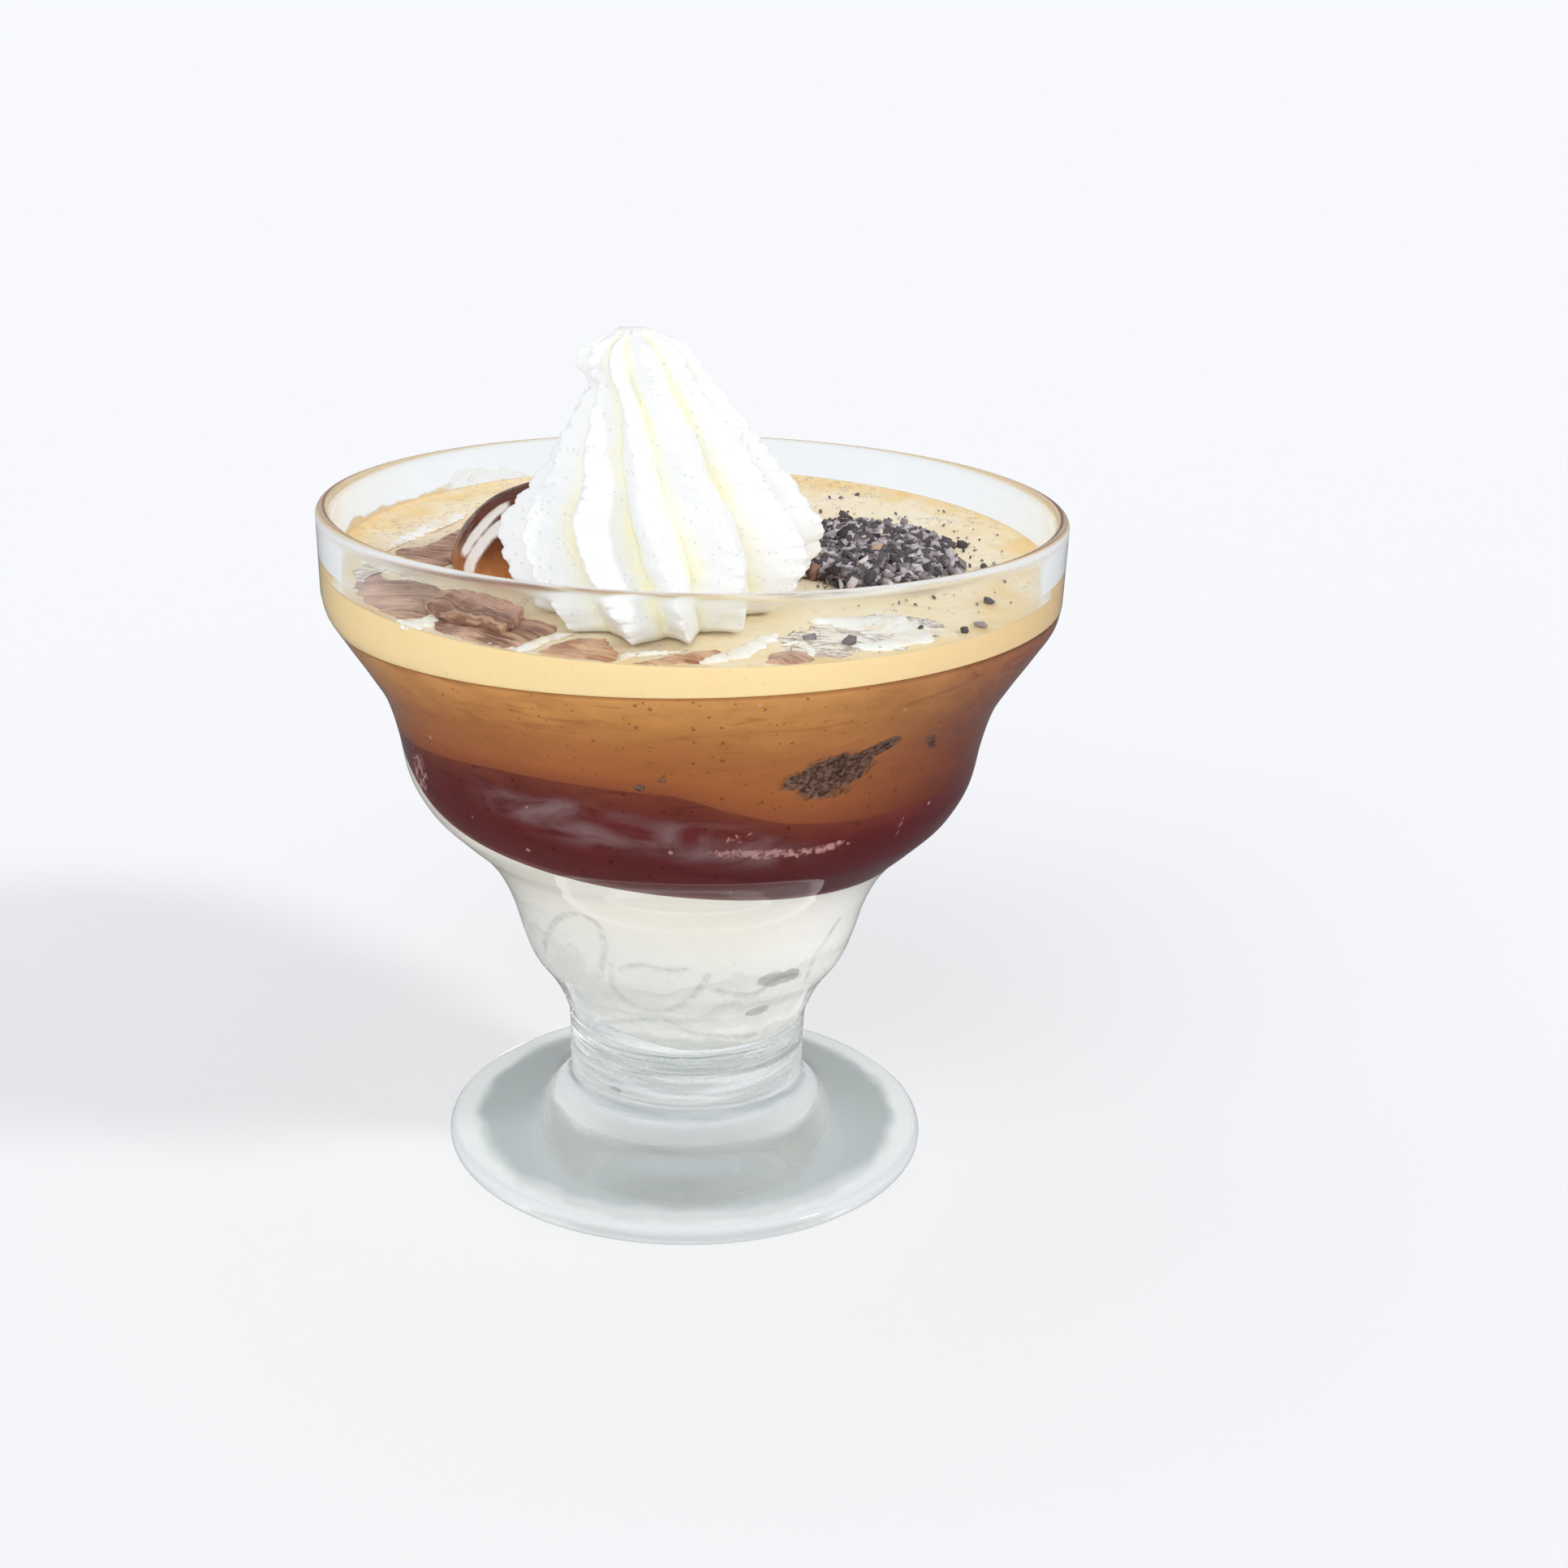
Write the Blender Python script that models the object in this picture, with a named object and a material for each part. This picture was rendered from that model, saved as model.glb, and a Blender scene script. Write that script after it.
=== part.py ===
"""Affogato in a footed sundae glass.

A pressed glass with three tiers on a thick stem and foot holds, from the bottom up,
vanilla ice cream, dark coffee, milky coffee and a crema foam. A scoop of chocolate
ice cream floats in the foam with a rosette of whipped cream leaning on it, beside a
heap of cookie crumbs and a chunk of chocolate.

Units are metres, +Z is up, and the origin is the middle of the underside of the foot.
The front is -Y. Azimuths are degrees from the front, positive towards +X.
"""
import math

import bmesh
import bpy
import numpy as np
from mathutils import Vector

MM = 0.001
SHARP_ANGLE = 50.0          # edges that turn more than this stay sharp, in degrees
MERGE_DISTANCE = 0.001      # points of the spun glass closer than this become one
RANDOM_SEED = 11

# Driving dimensions of the glass, in millimetres.
RIM_RADIUS = 56.0
GLASS_HEIGHT = 105.2
FOOT_RADIUS = 38.5
FOOT_EDGE_RADIUS = 1.6
FOOT_EDGE_ARC = 60.0        # how far the round of the edge reaches over the top, in degrees
SEGMENTS = 40

# Outer radius by height, from the foot's edge to the rim band.
OUTER_KEYS = (
    (3.0, 37.7), (4.3, 30.5), (5.7, 25.2), (7.0, 22.5),         # sloping foot
    (8.6, 21.0), (10.4, 19.6), (12.6, 18.9),                    # ring where the stem starts
    (17.0, 18.85), (22.0, 19.0),                                # stem
    (26.0, 20.2), (30.0, 22.3), (34.0, 25.1), (38.0, 26.6),     # lower cup
    (43.0, 28.1), (48.0, 30.4), (52.0, 33.3), (56.0, 37.5),     # lower notch
    (60.0, 41.3), (65.0, 43.8), (71.0, 45.0),                   # middle bulge and waist
    (77.0, 46.8), (82.0, 49.7), (87.0, 53.0),                   # upper bulge
    (91.0, 55.3), (95.0, 55.9), (GLASS_HEIGHT, RIM_RADIUS),     # shoulder and rim band
)
FOOT_TOP = 12.6             # the foot and its ring reach up to here
FOOT_STEPS = 7
BOWL_STEPS = 24
CAVITY_STEPS = 19
BAND_BOTTOM = 93.0          # the straight rim band starts here
WALL_AT_RIM = 2.1
WALL_AT_STEM = 3.6
WELL_TOP = 27.0             # below this the cavity closes in a rounded well
WELL_FLOOR = 18.0
WELL_STEPS = 8
ROUND_STEPS = 5             # points on the round of the foot's edge and of the lip

# Levels of the contents, in millimetres.
GAP = 0.3                   # between neighbouring solids
WALL_GAP = 0.45             # between the contents and the glass
VANILLA_FLOOR = 22.4
VANILLA_FLOOR_TILT = -0.28  # the ice cream has slipped down on the right
VANILLA_FLOOR_SHAPE = 0.8   # how far its underside follows the round of the well
VANILLA_CLEARANCE = 1.0     # least height of its underside above the well
VANILLA_TOP = 56.9
VANILLA_TOP_TILT = -0.125
VANILLA_CLIMB = 9.5         # the ice cream that clings to the wall on the left
CLIMB_AZIMUTH = -92.0
CLIMB_WIDTH = 24.0
CLIMB_POWER = 8             # keeps the climb close to the wall
DARK_TOP_MIDDLE = 71.0
DARK_TOP_KEYS = (           # azimuth and height of the wavy edge of the dark coffee
    (-180.0, 70.5), (-62.0, 73.2), (-33.0, 74.9), (-5.0, 74.3), (8.0, 71.3), (20.0, 68.9),
    (36.0, 68.0), (56.0, 68.0), (70.0, 69.5), (95.0, 71.0), (180.0, 70.5),
)
MILK_TOP = 91.1
MILK_TOP_TILT = 0.03
FOAM_TOP = 97.0
FOAM_TOP_TILT = 0.038       # the glass was carried, so the foam is higher at the back
EDGE_ROUNDS = 40            # repeats that find where a surface meets the wall
MENISCUS = 0.35
MENISCUS_START = 0.97       # share of the cavity's radius where the foam starts to climb

# Chocolate scoop: the half of an ellipsoid that stands out of the foam.
SCOOP_CENTRE = (-16.5, -5.0)
SCOOP_RADIUS = 19.5
SCOOP_HEIGHT = 12.0
SCOOP_RINGS = 6
SCOOP_COLUMNS = 28

# Whipped cream rosette.
CREAM_CENTRE = (-5.0, -23.6)
CREAM_GROOVES = (           # azimuths of the grooves between the lobes, at the foot
    -181.0, -145.0, -109.0, -73.0, -43.0, -19.0, 6.0, 21.0, 47.0, 77.0, 107.0, 143.0,
)
CREAM_LOBE_COLUMNS = 6
CREAM_RINGS = 19
CREAM_TOP = 134.0
CREAM_KEYS = (              # height above the foam and radius
    (0.0, 17.2), (2.0, 18.6), (4.5, 20.6), (7.5, 22.1), (10.5, 22.4), (13.5, 20.8), (16.0, 18.9), (19.0, 16.4),
    (22.5, 14.2), (26.0, 11.6), (29.0, 9.6), (32.0, 8.4), (34.5, 7.4), (36.2, 5.9), (37.3, 2.6),
)
CREAM_LEAN_KEYS = (         # height above the foam and sideways shift of the tip
    (0.0, 0.0), (18.0, 0.7), (27.0, -0.6), (33.0, -2.6), (37.4, -3.7),
)
CREAM_FRONT_SLUMP = 0.31    # the lobes in front run out further at the foot, by this share
CREAM_SLUMP_POWER = 6.0     # above 1 it is gathered straight in front
CREAM_SLUMP_TOP = 0.30      # share of the height where that ends
CREAM_TWIST = 0.50          # turn of the front lobes from foot to tip, in radians
CREAM_TWIST_SIDE = 0.45     # how much more those on the left turn, and less those on the right
TWIST_ROUNDS = 20           # repeats that find where a twisted lobe stands
CREAM_GROOVE_FOOT = 0.34    # depth of the grooves at the foot, as a share of the radius
CREAM_GROOVE_TIP = 0.24
CREAM_FOOT_FILL = 0.55      # share of the grooves' depth that is filled where the cream has settled
CREAM_FOOT_HEIGHT = 7.0     # height above the foam where that ends
CREAM_LOBE_WIDTH = 30.0     # degrees of a lobe whose grooves have that depth
CREAM_SHARPNESS = 0.6       # share of the pointed profile in the lobes' mixed profile
CREAM_CREST_POWER = 1.25    # of the pointed profile: near 1 its crest is an edge
CREAM_LOBE_POWER = 0.8      # of the round profile: below 1 the grooves between lobes are sharp
CREAM_RING_POWER = 0.9      # above 1 the rings crowd towards the foot, below 1 towards the tip

# Cookie crumb heap.
HEAP_CENTRE = (27.0, -2.0)
HEAP_RADII = (13.5, 18.0)
HEAP_HEIGHT = 2.6
HEAP_RINGS = 3
HEAP_COLUMNS = 20
HEAP_REACH = 0.93           # the outermost crumbs sit at this share of the heap's radii
HEAP_CORE = 0.92            # size of the mound under the crumbs, as a share of the heap
HEAP_CRUMBS = 38
CRUMB_RADII = (1.15, 1.75)
CRUMB_SQUASH = (0.7, 1.25)  # range of a crumb's proportions
CRUMB_JAG = (0.8, 1.2)      # range of the distance of a crumb's corners
CRUMB_LIFT = 0.8            # the crumbs at the heap's edge are raised by this share of their radius
CRUMB_SCATTER = (0.94, 1.02)    # range of a crumb's distance from its place on the spiral
CRUMB_CLEARANCE = 0.06      # the crumbs stay this far above the heap's underside
STRAY_LIFT = 0.35           # share of its radius by which a stray crumb's middle is above the foam
STRAY_CRUMBS = (            # place on the foam and radius of crumbs that lie apart
    (41.5, 8.0, 1.2), (43.5, -4.0, 1.0), (39.0, -33.5, 1.3), (36.5, -36.0, 1.0),
    (41.5, -24.0, 1.0), (30.5, -36.5, 1.1), (20.5, -43.0, 1.3), (15.5, -41.5, 1.0),
    (24.0, 24.5, 1.0), (33.5, 20.5, 1.0),
)

# Chocolate chunk at the front left, against the wall.
CHUNK_AZIMUTH = -40.0
CHUNK_DISTANCE = 45.6
CHUNK_LENGTH = 15.0
CHUNK_WIDTH = 8.0
CHUNK_HEIGHT = 1.9
CHUNK_CORNERS = 14
CHUNK_SQUARENESS = 0.7      # 1 gives an oval and smaller values a box
CHUNK_RINGS = ((0.96, 0.0), (1.0, 0.35), (0.97, 0.8), (0.82, 1.0))  # share of width, of height
CHUNK_CROWN = 1.05          # height of the middle of its top, as a share of its height
CHUNK_UNEVEN = ((3.0, 0.6, 0.07), (5.0, 0.0, 0.05))     # waves round it, their phase and size

GOLDEN_ANGLE = math.pi * (3.0 - math.sqrt(5.0))


def clear_scene():
    """Remove every object of the open scene."""
    for obj in list(bpy.data.objects):
        bpy.data.objects.remove(obj, do_unlink=True)


def material(name, colour, roughness, metallic=0.0, transmission=0.0):
    """A Principled material."""
    mat = bpy.data.materials.new(name)
    mat.use_nodes = True
    shader = mat.node_tree.nodes["Principled BSDF"]
    shader.inputs["Base Color"].default_value = (*colour, 1.0)
    shader.inputs["Roughness"].default_value = roughness
    shader.inputs["Metallic"].default_value = metallic
    shader.inputs["Transmission Weight"].default_value = transmission
    return mat


def add_object(name, bm, mat):
    """Make a smooth-shaded object of a bmesh whose points are in millimetres."""
    bmesh.ops.scale(bm, vec=Vector((MM, MM, MM)), verts=bm.verts)
    bmesh.ops.recalc_face_normals(bm, faces=bm.faces)
    mesh = bpy.data.meshes.new(name)
    bm.to_mesh(mesh)
    bm.free()
    mesh.shade_smooth()
    mesh.set_sharp_from_angle(angle=math.radians(SHARP_ANGLE))
    mesh.materials.append(mat)
    obj = bpy.data.objects.new(name, mesh)
    bpy.context.scene.collection.objects.link(obj)
    return obj


def smooth_curve(keys):
    """A monotone cubic through (place, value) keys, as a function of the place."""
    place, value = np.array(keys, dtype=float).T
    step = np.diff(place)
    slope = np.diff(value) / step
    tangent = np.zeros_like(value)
    same_way = slope[:-1] * slope[1:] > 0.0
    weight_a = 2.0 * step[1:] + step[:-1]
    weight_b = step[1:] + 2.0 * step[:-1]
    safe_a = np.where(same_way, slope[:-1], 1.0)
    safe_b = np.where(same_way, slope[1:], 1.0)
    mean = (weight_a + weight_b) / (weight_a / safe_a + weight_b / safe_b)
    tangent[1:-1] = np.where(same_way, mean, 0.0)
    tangent[0] = slope[0]
    tangent[-1] = slope[-1]

    def curve(at):
        at = np.clip(at, place[0], place[-1])
        i = np.clip(np.searchsorted(place, at) - 1, 0, len(step) - 1)
        t = (at - place[i]) / step[i]
        rise = value[i + 1] - value[i]
        start = tangent[i] * step[i]
        end = tangent[i + 1] * step[i]
        return value[i] + t * (start + t * (3.0 * rise - 2.0 * start - end
                                            + t * (start + end - 2.0 * rise)))

    return curve


outer_radius = smooth_curve(OUTER_KEYS)
dark_top_edge = smooth_curve(DARK_TOP_KEYS)


def cavity_radius(z):
    """Radius of the hollow of the glass at a height: the outside less the wall.

    The wall keeps its thickness along its own normal, so on a sloping stretch the level
    cut through it is wider. The rounded well at the bottom is a quarter of an ellipse.
    """
    z = np.asarray(z, dtype=float)
    level = np.maximum(z, WELL_TOP)
    half_step = 0.5
    slope = outer_radius(level + half_step) - outer_radius(level - half_step)
    share = (BAND_BOTTOM - level) / (BAND_BOTTOM - WELL_TOP)
    wall = WALL_AT_RIM + (WALL_AT_STEM - WALL_AT_RIM) * np.clip(share, 0.0, 1.0)
    radius = outer_radius(level) - wall * np.sqrt(1.0 + slope ** 2)
    depth = np.clip((WELL_TOP - z) / (WELL_TOP - WELL_FLOOR), 0.0, 1.0)
    return radius * np.sqrt(1.0 - depth ** 2)


def arc(centre_r, centre_z, radius, start, end, steps):
    """Points (r, z) on an arc between two angles in degrees."""
    angles = np.radians(np.linspace(start, end, steps))
    return [(centre_r + radius * math.cos(a), centre_z + radius * math.sin(a)) for a in angles]


def glass_outline():
    """The outline of the glass from the middle of the foot to the floor of the well."""
    edge = FOOT_RADIUS - FOOT_EDGE_RADIUS
    points = [(0.0, 0.0)]
    points += arc(edge, FOOT_EDGE_RADIUS, FOOT_EDGE_RADIUS, -90.0, FOOT_EDGE_ARC, ROUND_STEPS)
    foot_heights = np.linspace(OUTER_KEYS[1][0], FOOT_TOP, FOOT_STEPS)
    heights = np.concatenate((foot_heights[:-1], np.linspace(FOOT_TOP, BAND_BOTTOM, BOWL_STEPS)))
    points += [(float(outer_radius(z)), float(z)) for z in heights]
    lip = 0.5 * WALL_AT_RIM
    points += arc(RIM_RADIUS - lip, GLASS_HEIGHT - lip, lip, 0.0, 180.0, ROUND_STEPS)
    heights = np.linspace(BAND_BOTTOM, WELL_TOP, CAVITY_STEPS)
    points += [(float(cavity_radius(z)), float(z)) for z in heights]
    for angle in np.radians(np.linspace(0.0, 90.0, WELL_STEPS)[1:]):
        z = WELL_TOP - (WELL_TOP - WELL_FLOOR) * math.sin(angle)
        points.append((float(cavity_radius(WELL_TOP)) * math.cos(angle), z))
    points[-1] = (0.0, WELL_FLOOR)
    return points


def make_glass():
    """Spin the outline of the glass about the Z axis."""
    bm = bmesh.new()
    verts = [bm.verts.new((r, 0.0, z)) for r, z in glass_outline()]
    edges = [bm.edges.new(pair) for pair in zip(verts[:-1], verts[1:])]
    bmesh.ops.spin(bm, geom=verts + edges, cent=(0.0, 0.0, 0.0), axis=(0.0, 0.0, 1.0),
                   angle=math.tau, steps=SEGMENTS, use_duplicate=False)
    bmesh.ops.remove_doubles(bm, verts=bm.verts, dist=MERGE_DISTANCE)
    bmesh.ops.triangulate(bm, faces=bm.faces)
    return add_object("glass", bm, material("clear_glass", (0.95, 0.98, 0.96), 0.03, transmission=1.0))


def skin_rings(rings, first_pole, last_pole):
    """A closed bmesh over a stack of rings of equal length, capped by two poles."""
    bm = bmesh.new()
    loops = [[bm.verts.new(p) for p in ring] for ring in rings]
    count = len(loops[0])
    for lower, upper in zip(loops[:-1], loops[1:]):
        for i in range(count):
            j = (i + 1) % count
            bm.faces.new((lower[i], lower[j], upper[j], upper[i]))
    for loop, pole in ((loops[0], first_pole), (loops[-1], last_pole)):
        tip = bm.verts.new(pole)
        for i in range(count):
            bm.faces.new((loop[i], loop[(i + 1) % count], tip))
    bmesh.ops.triangulate(bm, faces=bm.faces)
    return bm


def bump(azimuth, centre, width):
    """A smooth hump of height 1 around an azimuth."""
    away = (azimuth - centre + 180.0) % 360.0 - 180.0
    return np.exp(-(away / width) ** 2)


def vanilla_floor(x, y, azimuth, share):
    """Underside of the ice cream: tilted, and never through the floor of the well."""
    rise = 1.0 - np.sqrt(1.0 - (VANILLA_FLOOR_SHAPE * share) ** 2)
    well = WELL_FLOOR + (WELL_TOP - WELL_FLOOR) * rise
    return np.maximum(VANILLA_FLOOR + VANILLA_FLOOR_TILT * x, well + VANILLA_CLEARANCE)


def vanilla_top(x, y, azimuth, share):
    """Top of the ice cream: tilted, and drawn up the wall on the left."""
    climb = VANILLA_CLIMB * bump(azimuth, CLIMB_AZIMUTH, CLIMB_WIDTH) * share ** CLIMB_POWER
    return VANILLA_TOP + VANILLA_TOP_TILT * x + climb


def dark_top(x, y, azimuth, share):
    """Top of the dark coffee: level in the middle, wavy where it meets the wall."""
    return DARK_TOP_MIDDLE + (dark_top_edge(azimuth) - DARK_TOP_MIDDLE) * share ** 2


def milk_top(x, y, azimuth, share):
    """Top of the milky coffee, slightly tilted."""
    return MILK_TOP + MILK_TOP_TILT * x


def foam_level(x, y):
    """Height of the foam away from the wall."""
    return FOAM_TOP + FOAM_TOP_TILT * y


def foam_top(x, y, azimuth, share):
    """Top of the foam, which climbs the wall a little."""
    climb = np.clip((share - MENISCUS_START) / (1.0 - MENISCUS_START), 0.0, 1.0)
    return foam_level(x, y) + MENISCUS * climb ** 2


def edge_of(surface, lift):
    """Where a surface meets the wall: radii and heights round the cavity.

    The height depends on the radius and the radius on the height, so the pair is found by
    repeating the two in turn, which settles because the surfaces are nearly level.
    """
    angle = np.linspace(0.0, math.tau, SEGMENTS, endpoint=False)
    azimuth = np.degrees(np.arctan2(np.cos(angle), -np.sin(angle)))
    z = np.full(SEGMENTS, VANILLA_TOP)
    for _ in range(EDGE_ROUNDS):
        r = cavity_radius(z) - WALL_GAP
        z = surface(r * np.cos(angle), r * np.sin(angle), azimuth, np.ones(SEGMENTS)) + lift
    return angle, azimuth, r, z


def disc_rings(surface, lift, shares):
    """Rings of a surface at shares of its edge radius, and the point in its middle."""
    angle, azimuth, edge, _ = edge_of(surface, lift)
    rings = []
    for share in shares:
        x = edge * share * np.cos(angle)
        y = edge * share * np.sin(angle)
        z = surface(x, y, azimuth, np.full(SEGMENTS, share)) + lift
        rings.append(np.column_stack((x, y, z)))
    zero = np.zeros(1)
    middle = (0.0, 0.0, float(surface(zero, zero, zero, zero)[0]) + lift)
    return rings, middle


def make_layer(name, floor, top, floor_shares, top_shares, side_steps, mat):
    """A layer of the contents between two surfaces, filling the glass to its wall."""
    lower, floor_pole = disc_rings(floor, GAP / 2.0, floor_shares + (1.0,))
    upper, top_pole = disc_rings(top, -GAP / 2.0, top_shares + (1.0,))
    low, high = lower[-1][:, 2], upper[-1][:, 2]
    angle = np.linspace(0.0, math.tau, SEGMENTS, endpoint=False)
    side = []
    for share in np.linspace(0.0, 1.0, side_steps + 1)[1:-1]:
        z = low + (high - low) * share
        r = cavity_radius(z) - WALL_GAP
        side.append(np.column_stack((r * np.cos(angle), r * np.sin(angle), z)))
    rings = lower + side + upper[::-1]
    return add_object(name, skin_rings(rings, floor_pole, top_pole), mat)


def crumb(rng, centre, radius, floor):
    """A jagged crumb: a 20-sided ball with its corners pushed in and out, flat below a floor."""
    bm = bmesh.new()
    bmesh.ops.create_icosphere(bm, subdivisions=1, radius=1.0)
    squash = Vector(rng.uniform(*CRUMB_SQUASH, 3))
    for vert in bm.verts:
        vert.co *= radius * rng.uniform(*CRUMB_JAG)
        vert.co = Vector(a * b for a, b in zip(vert.co, squash)) + Vector(centre)
        vert.co.z = max(vert.co.z, floor)
    return bm


def apply_boolean(body, operation, cutter):
    """Apply an exact Boolean with an object or a collection to a body."""
    step = body.modifiers.new(operation.lower(), "BOOLEAN")
    step.operation = operation
    step.solver = "EXACT"
    if isinstance(cutter, bpy.types.Collection):
        step.operand_type = "COLLECTION"
        step.collection = cutter
    else:
        step.object = cutter
    bpy.context.view_layer.objects.active = body
    bpy.ops.object.modifier_apply(modifier=step.name)


def fuse(body, pieces):
    """Join pieces to a body by one Boolean union on a collection, then remove them."""
    group = bpy.data.collections.new(body.name + "_pieces")
    bpy.context.scene.collection.children.link(group)
    for piece in pieces:
        bpy.context.scene.collection.objects.unlink(piece)
        group.objects.link(piece)
    apply_boolean(body, "UNION", group)
    for piece in pieces:
        bpy.data.objects.remove(piece, do_unlink=True)
    bpy.data.collections.remove(group)


def dome(centre, radii, height, rings, columns, sink):
    """A bmesh of half an ellipsoid that stands on the foam, cut level with its surface."""
    angle = np.linspace(0.0, math.tau, columns, endpoint=False)
    stack = []
    for tilt in np.radians(np.linspace(0.0, 90.0, rings + 1)[:-1]):
        x = centre[0] + radii[0] * math.cos(tilt) * np.cos(angle)
        y = centre[1] + radii[1] * math.cos(tilt) * np.sin(angle)
        z = foam_level(x, y) + sink + height * math.sin(tilt)
        stack.append(np.column_stack((x, y, z)))
    ground = foam_level(*centre) + sink
    return skin_rings(stack, (*centre, ground), (*centre, ground + height))


def make_scoop(name, grow, mat):
    """The chocolate scoop, or a copy of it grown by a gap all round."""
    radius = SCOOP_RADIUS + grow
    height = SCOOP_HEIGHT + 2.0 * grow
    bm = dome(SCOOP_CENTRE, (radius, radius), height, SCOOP_RINGS, SCOOP_COLUMNS, GAP - grow)
    return add_object(name, bm, mat)


def cream_columns():
    """The angle at the foot of each column of the rosette, its lobe's height and width.

    A lobe mixes a pointed and a round profile, both 0 in its grooves and 1 on its crest.
    """
    edges = np.append(CREAM_GROOVES, CREAM_GROOVES[0] + 360.0)
    width = np.repeat(np.diff(edges), CREAM_LOBE_COLUMNS)
    across = np.tile(np.arange(CREAM_LOBE_COLUMNS) / CREAM_LOBE_COLUMNS, len(CREAM_GROOVES))
    azimuth = np.repeat(edges[:-1], CREAM_LOBE_COLUMNS) + width * across
    pointed = 1.0 - np.abs(np.cos(math.pi * across)) ** CREAM_CREST_POWER
    rounded = np.sin(math.pi * across) ** CREAM_LOBE_POWER
    lobe = CREAM_SHARPNESS * pointed + (1.0 - CREAM_SHARPNESS) * rounded
    return np.radians(azimuth - 90.0), lobe, width


def twisted(foot_angle, share):
    """Where the columns of the rosette stand at a share of its height.

    The turn grows fast at the foot and is greatest on the left. It depends on the place
    that it leads to, so the place is found by repeating the two in turn.
    """
    grown = 1.0 - (1.0 - share) ** 2
    angle = foot_angle
    for _ in range(TWIST_ROUNDS):
        angle = foot_angle - grown * (CREAM_TWIST - CREAM_TWIST_SIDE * np.cos(angle))
    return angle


def make_cream(mat):
    """The rosette: a star-shaped section carried up a leaning axis, hollowed by the scoop."""
    radius_at = smooth_curve(CREAM_KEYS)
    lean_at = smooth_curve(CREAM_LEAN_KEYS)
    ground = foam_level(*CREAM_CENTRE)
    top = CREAM_TOP - ground
    foot_angle, lobe, width = cream_columns()
    rings = []
    for share in np.linspace(0.0, 1.0, CREAM_RINGS + 1)[:-1] ** CREAM_RING_POWER:
        height = share * top
        angle = twisted(foot_angle, share)
        facing_front = 0.5 - 0.5 * np.sin(angle)
        depth = CREAM_GROOVE_FOOT + (CREAM_GROOVE_TIP - CREAM_GROOVE_FOOT) * share
        settled = max(0.0, 1.0 - height / CREAM_FOOT_HEIGHT)
        depth = depth * np.sqrt(width / CREAM_LOBE_WIDTH) * (1.0 - CREAM_FOOT_FILL * settled)
        slump = CREAM_FRONT_SLUMP * facing_front ** CREAM_SLUMP_POWER * max(0.0, 1.0 - share / CREAM_SLUMP_TOP)
        r = radius_at(height) * (1.0 - depth * (1.0 - lobe) + slump)
        x = CREAM_CENTRE[0] + lean_at(height) + r * np.cos(angle)
        y = CREAM_CENTRE[1] + r * np.sin(angle)
        z = foam_level(x, y) * (1.0 - share) + CREAM_TOP * share + GAP
        rings.append(np.column_stack((x, y, z)))
    tip = (CREAM_CENTRE[0] + float(lean_at(top)), CREAM_CENTRE[1], CREAM_TOP)
    foot = (*CREAM_CENTRE, ground + GAP)
    cream = add_object("whipped_cream", skin_rings(rings, foot, tip), mat)
    cutter = make_scoop("scoop_space", GAP, mat)
    apply_boolean(cream, "DIFFERENCE", cutter)
    bpy.data.objects.remove(cutter, do_unlink=True)


def make_heap(rng, mat):
    """The crumb heap: a low mound with crumbs fused on in a sunflower spiral."""
    core = (HEAP_CORE * HEAP_RADII[0], HEAP_CORE * HEAP_RADII[1])
    mound = dome(HEAP_CENTRE, core, HEAP_HEIGHT, HEAP_RINGS, HEAP_COLUMNS, GAP)
    heap = add_object("cookie_crumbs", mound, mat)
    pieces = []
    for i in range(HEAP_CRUMBS):
        turn = i * GOLDEN_ANGLE
        reach = HEAP_REACH * math.sqrt((i + 0.5) / HEAP_CRUMBS) * rng.uniform(*CRUMB_SCATTER)
        x = HEAP_CENTRE[0] + HEAP_RADII[0] * reach * math.cos(turn)
        y = HEAP_CENTRE[1] + HEAP_RADII[1] * reach * math.sin(turn)
        rise = HEAP_HEIGHT * math.sqrt(max(0.0, 1.0 - reach ** 2))
        radius = rng.uniform(*CRUMB_RADII)
        ground = foam_level(x, y) + GAP
        centre = (x, y, ground + max(rise, CRUMB_LIFT * radius))
        bm = crumb(rng, centre, radius, ground + CRUMB_CLEARANCE)
        pieces.append(add_object(f"crumb_{i}", bm, mat))
    fuse(heap, pieces)


def scatter_strays(rng, foam, mat):
    """Fuse the crumbs that lie apart on the foam to it."""
    pieces = []
    for i, (x, y, radius) in enumerate(STRAY_CRUMBS):
        ground = foam_level(x, y)
        bm = crumb(rng, (x, y, ground + STRAY_LIFT * radius), radius, ground - radius)
        pieces.append(add_object(f"stray_{i}", bm, mat))
    fuse(foam, pieces)


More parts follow.
